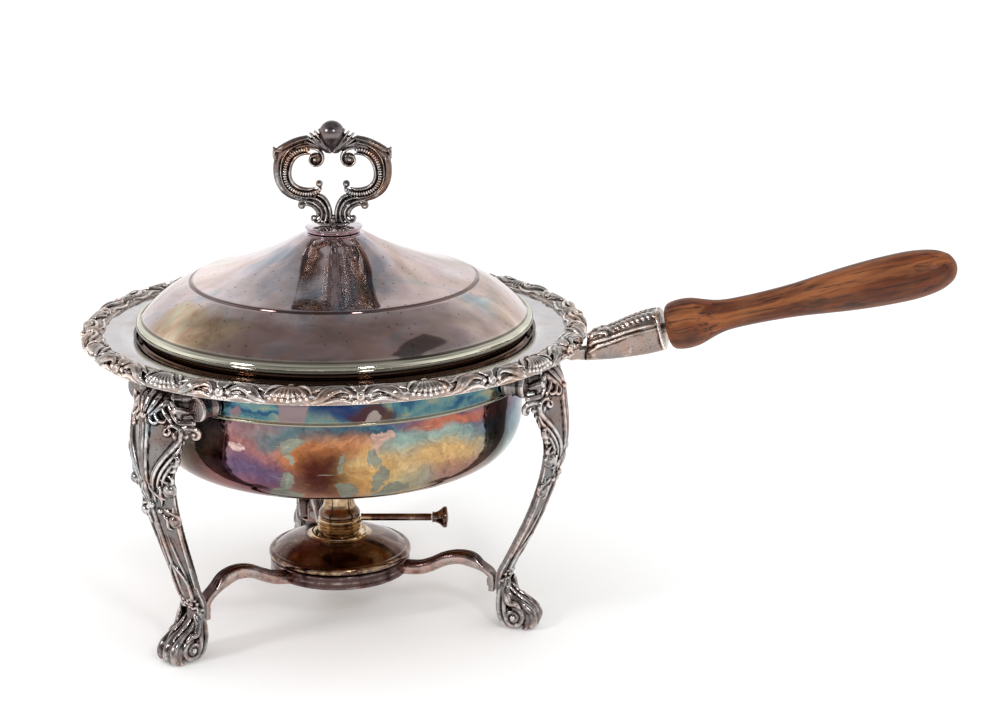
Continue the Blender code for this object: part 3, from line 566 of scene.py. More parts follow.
def burner_material():
    """Dark bronze-brown tarnish, golden where hands and heat have worn it."""
    material, tree, shader, where = new_material("dark_bronze")
    cloud = noise(tree, where, 60.0, 5.0, 1.2)
    color = ramp(tree, cloud, [(0.3, (0.06, 0.026, 0.018)), (0.48, (0.11, 0.056, 0.042)),
        (0.62, (0.2, 0.135, 0.115)), (0.78, (0.36, 0.28, 0.27))])
    gold = rise(tree, noise(tree, where, 110.0, 4.0, 0.6, 0.5, None, (2.0, 7.0, 1.0)), 0.58, 0.68)
    color = tint(tree, color, gold, 0.4, (0.36, 0.22, 0.1))
    specks = add(tree, "ShaderNodeTexVoronoi", {"Vector": where, "Scale": 260.0})
    dots = ramp(tree, specks.outputs["Distance"], [(0.07, 1.0), (0.12, 0.0)])
    color = tint(tree, color, dots, 0.35, (0.75, 0.66, 0.55))
    flat, radius = about_axis(tree, where)
    golden = ramp(tree, noise(tree, where, 120.0, 5.0, 0.8),
        [(0.3, (0.22, 0.13, 0.07)), (0.48, (0.5, 0.36, 0.22)), (0.7, (0.74, 0.6, 0.43))])
    inner = fade(tree, radius, 0.0205, 0.0188)
    rub = rise(tree, noise(tree, where, 190.0, 4.0, 0.5, 0.6, None, (5.0, 1.0, 3.0)), 0.46, 0.6)
    edge = spot(tree, flat, (0.0, 0.0, 0.0), (0.0446, 0.0446, 1.0), 0.002)
    outer = fade(tree, radius, 0.0424, 0.0436)
    worn = times(tree, times(tree, edge, outer), times(tree, rub, 0.8))
    high = height_of(tree, where)
    above = fade(tree, high, 0.0592, 0.0598)
    below = fade(tree, high, 0.0668, 0.0654)
    dark = calc(tree, "SUBTRACT", 1.0, times(tree, times(tree, above, below), 0.9))
    color = mixed(tree, times(tree, inner, dark), color, golden)
    color = mixed(tree, worn, color, golden)
    finish_metal(tree, shader, where, color, (0.08, 0.22), 0.15)
    return material


def neck_material():
    """Brighter worn gold-grey of the burner's head and rims."""
    material, tree, shader, where = new_material("worn_gold_plate")
    color = ramp(tree, noise(tree, where, 120.0, 5.0, 0.8),
        [(0.3, (0.2, 0.13, 0.09)), (0.48, (0.44, 0.35, 0.27)), (0.7, (0.66, 0.56, 0.46))])
    finish_metal(tree, shader, where, color, (0.12, 0.28), 0.2)
    return material


def wood_material():
    """Oiled hardwood with long dark pores along the grip."""
    material, tree, shader, where = new_material("oiled_hardwood", 0.5, 0.0)
    along = add(tree, "ShaderNodeMapping", {"Vector": where,
        "Location": (-0.0938, 0.0, -0.1889)}).outputs[0]
    along = add(tree, "ShaderNodeMapping", {"Vector": along,
        "Rotation": (0.0, math.radians(GRIP_PITCH), 0.0)}).outputs[0]
    ragged = warped(tree, along, 18.0, 0.01)
    rings = add(tree, "ShaderNodeTexNoise", {"Vector": add(tree, "ShaderNodeMapping",
        {"Vector": ragged, "Scale": (0.9, 9.0, 9.0)}).outputs[0], "Scale": 9.0, "Detail": 4.0,
        "Distortion": 0.8}).outputs["Fac"]
    bands = calc(tree, "PINGPONG", times(tree, rings, 5.0), 1.0)
    color = ramp(tree, bands, [(0.0, (0.075, 0.018, 0.006)), (0.35, (0.135, 0.033, 0.01)),
        (0.7, (0.2, 0.056, 0.016)), (1.0, (0.27, 0.088, 0.026))])
    fibre = noise(tree, along, 150.0, 5.0, 0.3, 0.65, (0.06, 1.0, 1.0), (1.0, 0.0, 0.0))
    color = mixed(tree, 0.9, color, ramp(tree, fibre, [(0.3, 0.45), (0.5, 0.95), (0.7, 1.35)]), "MULTIPLY")
    pores = noise(tree, along, 420.0, 3.0, 0.2, 0.6, (0.05, 1.0, 1.0))
    dark = ramp(tree, pores, [(0.36, 1.0), (0.46, 0.0)])
    color = tint(tree, color, dark, 0.8, (0.022, 0.007, 0.003))
    worn = rise(tree, noise(tree, along, 30.0, 5.0, 0.8), 0.52, 0.75)
    color = tint(tree, color, worn, 0.2, (0.34, 0.15, 0.065))
    shader.inputs["Specular IOR Level"].default_value = 0.28
    tree.links.new(color, shader.inputs["Base Color"])
    span = add(tree, "ShaderNodeMapRange", {"Value": bands, "To Min": 0.36, "To Max": 0.52})
    tree.links.new(span.outputs[0], shader.inputs["Roughness"])
    made = add(tree, "ShaderNodeBump", {"Height": calc(tree, "SUBTRACT", 1.0, dark), "Strength": 0.5,
        "Distance": 0.0004})
    tree.links.new(made.outputs[0], shader.inputs["Normal"])
    return material


def cotton_material():
    material, tree, shader, where = new_material("woven_cotton", 0.95, 0.0)
    weave = add(tree, "ShaderNodeTexWave", {"Vector": where, "Scale": 900.0, "Distortion": 2.0})
    color = ramp(tree, weave.outputs["Fac"], [(0.2, (0.42, 0.38, 0.3)), (0.8, (0.78, 0.74, 0.64))])
    tree.links.new(color, shader.inputs["Base Color"])
    made = add(tree, "ShaderNodeBump", {"Height": weave.outputs["Fac"], "Strength": 0.6,
        "Distance": 0.0004})
    tree.links.new(made.outputs[0], shader.inputs["Normal"])
    return material


def plain_steel():
    material, tree, shader, where = new_material("plain_steel")
    color = ramp(tree, noise(tree, where, 90.0, 5.0, 0.8),
        [(0.3, (0.22, 0.19, 0.17)), (0.7, (0.46, 0.43, 0.4))])
    finish_metal(tree, shader, where, color, (0.25, 0.45), 0.25)
    return material


def liner_material():
    material, tree, shader, where = new_material("plain_plate")
    color = ramp(tree, noise(tree, where, 16.0, 6.0, 1.4),
        [(0.3, (0.5, 0.46, 0.42)), (0.5, (0.66, 0.64, 0.6)), (0.75, (0.56, 0.55, 0.58))])
    finish_metal(tree, shader, where, color, (0.12, 0.3), 0.12)
    return material


LID, BOWL, BAND, BURNER, NECK = (lid_material(), bowl_material(), band_material(), burner_material(),
    neck_material())
WOOD, COTTON, STEEL, LINER = wood_material(), cotton_material(), plain_steel(), liner_material()
# cast metals take light, mid and deep colours: deep is painted shade in the recesses, light a painted
# highlight on the ridges, over real tarnish and wear
LEG_METAL = cast_metal("cast_leg_metal", (0.72, 0.68, 0.66), (0.215, 0.195, 0.19), (0.012, 0.009, 0.008),
    (1.05, 0.72, 0.62), (0.1, 0.26))
RIM_METAL = cast_metal("cast_rim_metal", (0.92, 0.86, 0.82), (0.34, 0.285, 0.26), (0.022, 0.014, 0.011),
    (1.08, 0.8, 0.66))
GRIP_METAL = cast_metal("cast_handle_metal", (0.8, 0.73, 0.68), (0.185, 0.16, 0.16), (0.01, 0.008, 0.007),
    (1.15, 0.7, 0.42))
STRETCHER_METAL = cast_metal("stretcher_metal", (0.46, 0.37, 0.34), (0.115, 0.072, 0.068),
    (0.018, 0.012, 0.011), (1.05, 0.66, 0.56), (0.1, 0.28))


# ================================================================ turned pieces
def offset(points, distance):
    """An (r, z) line moved to its left."""
    p = np.array(points, float)
    run = unit(np.gradient(p, axis=0))
    return p + np.stack([-run[:, 1], run[:, 0]], 1) * distance


def sheet(line, half, reach):
    """The outline of sheet metal about an (r, z) line, from the axis out to its reach."""
    outline = np.vstack([offset(line, half), offset(line, -half)[::-1]])
    outline[:, 0] = outline[:, 0].clip(0.1, reach)
    return outline


def arc(center, radii, start, end, steps):
    a = np.radians(np.linspace(start, end, steps + 1))
    return [(center[0] + radii[0] * math.cos(t), center[1] + radii[1] * math.sin(t)) for t in a]


def turned_piece(node, outline, body, material, slot, segments=192, sharp=35.0):
    """A spun piece that stands for a CAD node."""
    made = Mesh()
    made.turned(outline, segments)
    made.place()
    put(made.object(node + "_surface", sharp=sharp), body, material, slot, node)


crown = spline([(3, 238.5), (16.5, 238.4), (20, 237), (24, 234.9), (30, 231.6), (40, 226.8), (50, 222.6),
    (60, 218.8), (70, 215.4), (78, 213), (83.8, 211.5)], 48)
shoulder = spline([(87.4, 209.9), (96, 205.4), (105, 199.2), (111.8, 193.3), (115.8, 189.2)], 28)
CREASE = 85.3                          # radius of the line between crown and shoulder
lip = arc((116.6, 186.2), (2.2, 2.9), 95, -90, 12)
dome = [*crown] + [(CREASE - 0.5, 211.2), (CREASE, 210.7), (CREASE + 0.2, 210), (CREASE + 0.6, 209.8),
    (CREASE + 1.2, 210.1)] + [*shoulder] + [(116.3, 188.8)] + lip + [(116, 183.2), (115.8, 179),
    (116.4, 178.2), (117.2, 177.6), (117.2, 174.4)]
under = [(116, 174.4), (115, 176), (115, 186)] + [*offset(np.vstack([crown, shoulder]), -1.2)[::-1][2:]]
turned_piece("lid_dome", dome + under, "lid", LID, "lid_silver")

base_top = 242.1
turned_piece("lid_handle_base", [(2.6, 238.8), (14.8, 238.8), (15.6, 239.1), (15.9, 239.6), (15.5, 240.1),
    (14.9, 240.4), (14.9, 240.6), (16.3, 240.8), (17, 241.1), (17.2, 241.5), (17, 241.8),
    (16.4, base_top), (2.6, base_top)], "lid", LID, "lid_silver", segments=96)

wall, bottom = 111.9, 101.4            # outer pan: wall radius and floor height
corner = arc((wall - 23.5, bottom + 28.5 + 1.2), (23.5, 28.5), -90, 0, 22)
pan = [(0.1, bottom), (45, bottom + 0.2), (70, bottom + 0.7)] + corner + [(wall + 0.2, 145),
    (wall + 0.4, 169), (wall + 1.2, 172.1), (118.4, 172.1), (119.1, 172.9), (119.2, 178.8),
    (119.6, 179.9), (120.6, 180.4), (130, 180.4), (148.5, 180.4)]
turned_piece("outer_pan", sheet(pan, 0.6, 148.5), "pan", BOWL, "pan_silver", segments=224, sharp=50)

liner_wall = 108
liner = [(0.1, 111)] + arc((liner_wall - 22, 133), (22, 22), -90, 0, 16) + [(liner_wall, 172.2),
    (liner_wall + 1, 173.5), (117.2, 173.5)]
turned_piece("food_pan", sheet(liner, 0.5, 117.2), "inner_pan", LINER, "liner_silver")

turned_piece("stand_ring", [(115, 153.5), (117.6, 153.5)] + arc((117.6, 154.4), (0.7, 0.9), -70, 70,
    8) + [(117.6, 155.6), (117.8, 156), (117.8, 170.6), (117.4, 171.2), (115, 171.2)], "stand", BAND,
    "stand_silver")

seat = 35.5
lip = arc((41.4, seat + 2.4), (2.4, 2.4), -90, 90, 14)
turned_piece("burner_reservoir", [(0.0, 23.6), (30, 23.6), (35.2, 24.6), (38.2, 27), (39.2, 30),
    (39.2, seat)] + lip + [(40.2, 40.2), (39.6, 40.5), (37, 42.5), (33.5, 44.3), (29.5, 46), (25, 47.4),
    (20.5, 48.4), (18.6, 48.6), (18, 49), (17.8, 49.6), (17.2, 50), (16.2, 50), (15.6, 49.5),
    (15.2, 48.9), (10.8, 48.9), (10.6, 50), (10.6, 56), (9.8, 56), (9.8, 48.4), (19, 47.8), (33.5, 43),
    (38.4, 39.2), (38.4, 29), (35.4, 25.7), (0.0, 24.4)], "burner", BURNER, "burner_bronze", segments=128,
    sharp=30)

collar = [(10.9, 50.5), (12.2, 50.5)]
for k in range(3):
    collar += [(13.6 - 1.8 * math.cos(a) ** 2, 50.7 + 2.1 * k + 2.1 * a / math.pi) for a in np.linspace(0,
        math.pi, 9)]
collar += [(11.8, 57.1), (7.7, 57.1), (7.7, 56.4), (10.9, 56.4)]
turned_piece("filler_collar", collar, "collar", BURNER, "burner_bronze", segments=96, sharp=60)

turned_piece("regulator_sleeve", [(11, 57.4), (12.4, 57.4)] + arc((12.4, 58.2), (0.6, 0.8), -90, 90,
    8) + [(12.1, 59.2), (12.4, 60), (12.7, 60.8), (12.7, 61.8), (12.4, 62.8), (11.5, 64.1), (10.5, 65.5),
    (9.8, 66.8), (9.4, 68.4), (9.3, 70), (9.3, 75.2), (9.1, 76), (8.5, 76), (8.4, 75.4), (8.4, 69.8),
    (9.1, 65.6), (11.6, 62), (11.6, 59.4)], "regulator", BURNER, "burner_bronze", segments=96, sharp=60)


# ================================================================ regulator rod and knob
def regulator():
    out = turn_z([1.0, 0.0, 0.0], BURNER_AZIMUTH)
    start = np.array([0, 0, 58.2])
    rod = [(13.3, 2.3), (14.2, 2.4), (15, 2.1), (16, 2.25), (56, 2.25), (56.8, 2.1)]
    knob = [(57.1, 3), (57.4, 3.4), (58, 3.4), (58.4, 3.1), (59.2, 3.2), (60.4, 3.7), (61.6, 4.4),
        (62.8, 5.4), (63.6, 6.2), (64.1, 6.6), (65.5, 6.6), (66.1, 6.3), (66.4, 5.6), (66.3, 4.4),
        (66.7, 3.6), (67, 2)]
    for node, stations, sharp in (("regulator_rod", rod, 35.0), ("regulator_knob", knob, 50.0)):
        made = Mesh()
        made.sweep([start + out * s for s, _ in stations], circle(28), Z, [r for _, r in stations])
        made.place()
        put(made.object(node + "_surface", sharp=sharp), "regulator", BURNER, "burner_bronze", node)


regulator()


# ================================================================ wood grip
def grip():
    pitch = math.radians(GRIP_PITCH)
    run = np.array([math.cos(pitch), 0.0, math.sin(pitch)])
    start = np.array([200.3, 0.0, 188.9])
    profile = spline([(0.4, 10.8), (1.2, 12.4), (2.8, 13.6), (6, 14.4), (11, 14.7), (17, 14), (23, 12.1),
        (29, 10.2), (36, 9), (46, 8.7), (60, 8.9), (76, 9.7), (91, 11.2), (106, 12.7), (123, 13.8),
        (140, 14.1), (151, 13.3), (160, 11.3), (166.5, 7.8), (169.2, 4), (170, 1.2)], 110)
    bore = [(70, 0.4), (70, 3.3), (0.4, 3.3)]
    stations = np.vstack([bore, profile])
    made = Mesh()
    side, up = np.array([0.0, -1.0, 0.0]), np.array([-run[2], 0.0, run[0]])
    made.rows(np.array([[start + run * s + (side * x + up * y) * r for x, y in circle(72)] for s,
        r in stations]))
    made.place()
    put(made.object("wood_handle_surface", sharp=60), "pan", WOOD, "handle_wood", "wood_handle")


grip()


# ================================================================ cast border
BORDER_PHASE = -86.0
border_line = spline([(137.2, 181.4), (138.5, 182.6), (141.2, 183.8), (144.5, 184.2), (147.5, 183.3),
    (149.7, 181.2), (150.3, 178.5), (150, 175.8)], 60)
border_run = np.concatenate([[0], np.cumsum(np.linalg.norm(np.diff(border_line, axis=0), axis=1))])


def border_point(angle, across, lift=0.0):
    """A point on the border: angle in degrees, across from 0 (inner edge) to 1 (lower outer edge)."""
    angle, across = np.broadcast_arrays(np.radians(np.asarray(angle, float)), np.asarray(across, float))
    at = across * border_run[-1]
    r, z = np.interp(at, border_run, border_line[:, 0]), np.interp(at, border_run, border_line[:, 1])
    ahead = np.clip(at + 0.4, 0, border_run[-1])
    back = np.clip(at - 0.4, 0, border_run[-1])
    dr = np.interp(ahead, border_run, border_line[:, 0]) - np.interp(back, border_run, border_line[:, 0])
    dz = np.interp(ahead, border_run, border_line[:, 1]) - np.interp(back, border_run, border_line[:, 1])
    nr, nz = unit(np.stack([-dz, dr], -1)).T
    r, z = r + nr * lift, z + nz * lift
    point = np.stack([r * np.cos(angle), r * np.sin(angle), z], -1)
    normal = np.stack([nr * np.cos(angle), nr * np.sin(angle), nz], -1)
    return point, normal


def border():
    made = Mesh()
    ground = border_line[::3] - np.stack([np.interp(border_line[::3, 0], [137, 150], [0.0, 2.0]),
        np.full(len(border_line[::3]), 0.5)], 1)
    section = [*ground] + [(148.2, 175.2), (147.6, 175.6), (147.4, 180), (147, 181), (140, 181.1)]
    made.turned(section, 288)

    def stroke(angles_across, radius, flat=0.7, count=26, taper=0.5, lift=0.0):
        path = spline(angles_across, count)
        point, normal = border_point(path[:, 0], path[:, 1], lift)
        made.tube(point, radius, normal, flat, taper, 8)

    def bead(angle, across, radius, lift=0.4, stretch=1.0):
        point, normal = border_point(angle, across, lift)
        tangent = np.array([-math.sin(math.radians(angle)), math.cos(math.radians(angle)), 0])
        made.blob(point, (radius * stretch, radius, radius * 0.8), normal, tangent, 10)

    for repeat in range(12):
        middle = BORDER_PHASE + 30.0 * repeat
        for k in range(-3, 4):                      # beaded fan shell
            stroke([(middle + 0.3 * k, 0.26), (middle + 0.75 * k, 0.55),
                (middle + 1.25 * k, 0.8 - 0.02 * abs(k))], [0.5, 1, 1.2], 0.9, 12, 0.2)
            bead(middle + 1.3 * k, 0.86 - 0.025 * abs(k), 1.25)
        bead(middle, 0.22, 1.7)
        for side in (-1, 1):
            def scroll(points, radius, flat=0.7, count=26, taper=0.5, lift=0.0):
                stroke([(middle + side * a, across) for a, across in points], radius, flat, count, taper,
                    lift)

            scroll([(1.0, 0.14), (2.6, 0.24), (4.3, 0.5), (5.0, 0.72)], [0.7, 1.1, 1.2, 0.8], 0.9)
            scroll([(4.8, 0.93), (6.5, 0.8), (8.8, 0.58), (11.0, 0.52), (12.6, 0.62), (13.2, 0.76),
                (12.4, 0.84)], [1.2, 2.7, 3.3, 3, 2, 1.4, 0.9], 0.62, 34)
            scroll([(4.6, 0.62), (6.6, 0.5), (9.0, 0.32), (11.6, 0.27), (13.4, 0.38), (13.9, 0.5)],
                [0.8, 1.3, 1.3, 1.2, 0.8], 0.8, 30)
            scroll([(5.2, 0.8), (7.4, 0.66), (9.6, 0.46), (11.6, 0.4), (12.9, 0.48)],
                [0.5, 0.7, 0.7, 0.5], 1.0, 26, 0.5, 1.1)
            scroll([(3.0, 0.12), (5.5, 0.16), (8.0, 0.08), (11.0, 0.06), (13.5, 0.16), (14.6, 0.1)],
                [0.7, 1, 0.9, 0.7], 0.8, 30)
            scroll([(6.0, 0.98), (8.5, 0.86), (11.0, 0.82), (13.8, 0.95)], [0.8, 1.3, 1.2, 0.7], 0.8)
            bead(middle + side * 13.0, 0.72, 1.4)
        leaf = middle + 15.0                        # ball and leaf
        bead(leaf, 0.74, 2.6, 0.2)
        for k in (-2, -1, 0, 1, 2):
            stroke([(leaf + 0.35 * k, 0.6), (leaf + 0.75 * k, 0.36),
                (leaf + 1.15 * k, 0.14 + 0.03 * abs(k))], [0.9, 1.1, 0.6], 0.9, 10, 0.3)
            stroke([(leaf + 0.5 * k, 0.84), (leaf + 0.9 * k, 0.97)], [0.9, 0.7], 0.9, 6, 0.3)

    def settle(points):
        radius = np.hypot(points[:, 0], points[:, 1])
        shrink = np.minimum(1.0, 151.5 / np.maximum(radius, 1e-9))
        points[:, :2] *= shrink[:, None]
        points[:, 2] = points[:, 2].clip(174.9, 185.3)

    made.place(0.0, settle)
    put(made.object("rim_border_casting", CASTING_VOXEL), "pan", RIM_METAL, "rim_silver", "rim_border")


border()


# ================================================================ scroll handle of the lid
def lid_handle():
    made = Mesh()
    foot = 242.4
    front = np.array([0.0, -1.0, 0.0])

    def path(points, count=40, depth=0.0):
        xz = spline(points, count)
        return np.stack([xz[:, 0], np.full(len(xz), -depth), xz[:, 1]], 1)

    def ridge(points, radius, flat, count=44, taper=0.15):
        """A moulding that stands out alike on both faces, on both sides of the middle."""
        for side in (-1, 1):
            made.tube(path([(side * x, z) for x, z in points], count), radius, front, flat, taper, 14)

    def ball(x, z, radii, depth=0.0, along=(1, 0, 0)):
        for side in ((-1, 1) if x else (1,)):
            for face in ((-1, 1) if depth else (1,)):
                made.blob((side * x, -face * depth, z), radii, front, (side * along[0], 0, along[2]), 12)

    # plain outer band, with its ear
    ridge([(13.0, 52.4), (17.5, 51.6), (22.5, 49.9), (28.0, 47.0), (32.6, 44.4)],
        [1.6, 1.9, 2.1, 2.2, 1.9], 1.35)
    ridge([(29.0, 45.6), (32.0, 44.9), (34.0, 45.6), (34.8, 47.2)], [1.8, 1.6, 1.2, 0.6], 1.6)
    ridge([(32.6, 45.0), (34.2, 43.6), (34.0, 41.6), (32.9, 39.6)], [1.2, 1.2, 1.3, 1.6], 1.6)
    ridge([(31.0, 42.5), (32.7, 37.6), (33.0, 31.6), (31.9, 26.0), (28.8, 20.9), (24.0, 17.4),
        (18.0, 15.6), (14.0, 15.6)], [1.8, 2.1, 2.1, 2.1, 2.1, 1.9, 1.6, 1.0], 1.35, 70)
    ridge([(13.0, 50.6), (20.0, 49.2), (26.5, 45.8), (31.0, 41.4), (32.0, 36.0)],
        [1.8, 2.3, 2.6, 2.4, 1.6], 0.8)
    # fine rim, beaded channel, inner rim
    ridge([(11.0, 49.6), (16.0, 49.4), (21.5, 47.6), (26.5, 43.9), (29.6, 38.6), (30.5, 31.6),
        (29.5, 25.9), (26.3, 20.8), (20.8, 17.6), (14.0, 16.9), (8.6, 18.3)], [0.55], 4.4, 80)
    channel = [(13.2, 45.2), (17.6, 45.4), (22.6, 43.2), (26.4, 38.8), (28.1, 31.6), (27.3, 26.1),
        (24.2, 21.9), (19.4, 19.5), (13.8, 19.0), (9.2, 20.2), (6.6, 22.6)]
    ridge(channel, [1.9, 2.2, 2.4, 2.4, 2.4, 2.4, 2.3, 2.2, 2.1, 1.9, 1.5], 0.72, 80)
    ridge([(9.0, 47.4), (13.0, 48.0), (18.0, 47.5), (22.0, 46.0)], [1.6, 1.9, 1.7, 1.2], 1.1)
    beads = spline(channel, 37)[1:-1]
    turn = unit(np.gradient(beads, axis=0))
    for (x, z), (dx, dz) in zip(beads, turn):
        ball(x, z, (0.7, 1.35, 1.05), 2.15, (dx, 0, dz))
    ridge([(12.8, 42.5), (16.6, 43.0), (20.6, 41.4), (23.9, 37.4), (25.3, 31.6), (24.6, 27.0),
        (21.9, 23.6), (17.9, 21.9), (13.4, 21.6), (10.2, 22.8)],
        [0.9, 1.1, 1.15, 1.15, 1.15, 1.15, 1.1, 1.1, 1.0, 0.7], 2.2, 70)
    # upper spiral
    ridge([(17.6, 46.9), (13.2, 46.6), (9.0, 45.6), (6.0, 42.8), (5.6, 39.2), (7.6, 36.4), (10.8, 35.9),
        (13.2, 38.2), (12.6, 40.9), (10.2, 41.8), (8.8, 40.4)],
        [0.8, 1.0, 1.05, 1.05, 1.0, 1.0, 0.95, 0.9, 0.85, 0.8, 0.7], 2.6, 80)
    ball(9.9, 40.0, (3.8, 3.8, 1.7))
    ball(10.2, 39.5, (1.3, 1.3, 1.0), 2.0)
    # lower tip
    ball(8.0, 24.9, (2.3, 2.3, 2.9))
    ball(8.0, 24.9, (1.0, 1.0, 0.9), 2.7)
    # stem ridges and the lower scrolls
    ridge([(10.0, 18.3), (6.4, 17.2), (3.5, 13.8), (1.9, 9.2), (1.6, 4.6), (2.2, 0.9)],
        [0.9, 1.2, 1.2, 1.2, 1.2, 1.1], 2.2)
    ridge([(18.5, 15.9), (13.0, 16.7), (8.2, 15.0), (5.0, 11.0), (4.0, 6.6), (4.8, 2.8), (6.8, 0.9)],
        [0.8, 1.1, 1.2, 1.2, 1.15, 1.1, 0.9], 2.4)
    ridge([(20.6, 12.4), (19.0, 14.4), (15.6, 14.8), (11.4, 13.4), (8.0, 10.6), (6.7, 7.2), (7.5, 3.6),
        (10.0, 1.9), (12.4, 2.8), (12.9, 4.8), (11.4, 6.0)],
        [0.9, 1.0, 1.1, 1.15, 1.15, 1.1, 1.05, 1.0, 0.9, 0.8, 0.7], 2.2, 60)
    ridge([(17.0, 12.6), (13.0, 12.0), (10.2, 9.8), (9.0, 7.0), (9.8, 4.4)], [0.9, 1.3, 1.4, 1.3, 0.9], 1.2)
    ridge([(14.0, 15.4), (9.0, 13.4), (5.9, 9.6), (5.2, 6.0), (6.6, 2.6)], [1.4, 1.6, 1.7, 1.6, 1.2], 1.0)
    ridge([(6.0, 15.2), (3.4, 10.0), (2.8, 5.0), (3.4, 1.6)], [1.2, 1.6, 1.6, 1.4], 1.0)
    ball(18.7, 11.8, (2.4, 2.4, 2.6))
    ball(18.7, 11.6, (1.1, 1.1, 0.9), 2.5)
    ball(11.2, 4.3, (1.6, 1.6, 2.4))
    ball(0, 2.9, (1.6, 1.6, 1.2), 2.6)
    ball(0, 3.0, (1.8, 3.0, 2.6))
    made.tube(path([(-9.5, 0.7), (0.0, 0.8), (9.5, 0.7)], 12), 0.9, front, 3.0, 0.2, 10)
    # leaf fans beside the ball
    for k, (x1, z1) in enumerate(((8.0, 57.6), (10.6, 56.6), (13.2, 55.4), (15.4, 53.8), (17.0, 51.6))):
        x0 = 1.0 + k
        bow = 0.52 * (x0 + x1) - 0.6
        ridge([(x0 * 0.6, 43.2), (x0 + 1.0, 46.0), (bow, 51.4 - 0.75 * k), (x1 - 1.2, z1 - 1.2),
            (x1, z1)], [0.5, 0.75, 0.9, 0.9, 0.75], 3.4 - 0.25 * k, 30, 0.1)
    ridge([(1.4, 44.4), (5.0, 47.5), (9.0, 51.0), (12.0, 52.6)], [1.5, 2.4, 2.6, 1.8], 1.0, 24)
    ridge([(0.6, 43.4), (3.4, 46.0), (7.2, 50.0)], [1.3, 2.4, 2.6], 1.0, 20)
    # ball with a drawn-down point
    drop = spline([(43.6, 0.7), (45.4, 1.8), (47.4, 3.4), (49.6, 5.2), (52.2, 6.7), (55.0, 7.35),
        (57.8, 7.0), (60.2, 5.5), (61.9, 3.3), (62.6, 1.2)], 26)
    made.sweep([(0, 0, z) for z, _ in drop], circle(36), front, [r for _, r in drop])

    def settle(points):
        points[:, 0] = points[:, 0].clip(-35.2, 35.2)
        points[:, 2] = foot + points[:, 2].clip(0.0, 62.8)

    made.place(LID_AZIMUTH, settle)
    put(made.object("lid_handle_casting", FINE_VOXEL), "lid", GRIP_METAL, "lid_silver", "lid_handle")


lid_handle()


# ================================================================ legs
LEG_LINE = np.array([
    # ridge distance, height, half width, ridge depth, hollow
    (127, 169.2, 15, 3), (134.5, 165.5, 18.5, 6), (139, 160, 21.2, 8.5),
    (141.2, 154.5, 22.8, 9.8), (142.4, 145, 22.8, 9.8), (143.4, 132, 21.8, 7.8),
    (142.7, 118, 18.6, 6), (138.7, 101, 16.4, 4.8), (133.3, 85, 14.6, 4.2),
    (127.2, 70, 13.2, 4), (120, 55, 11.8, 3.8), (113.7, 42, 10.8, 3.8),
    (110, 34, 10.4, 4), (109.8, 26, 10, 4.2), (112, 19, 9.6, 4.6),
    (115, 13.5, 9.2, 4.6)])


def leg_rows(splay, count=120):
    line = LEG_LINE.copy()
    share = np.clip((105 - line[:, 1]) / 65, 0, 1) ** 2
    line[:, 0] += splay * share
    fine = spline(line, count)
    run = unit(np.gradient(fine[:, :2], axis=0))
    out = np.stack([-run[:, 1], run[:, 0]], 1)
    out[out[:, 0] < 0] *= -1
    return fine, out


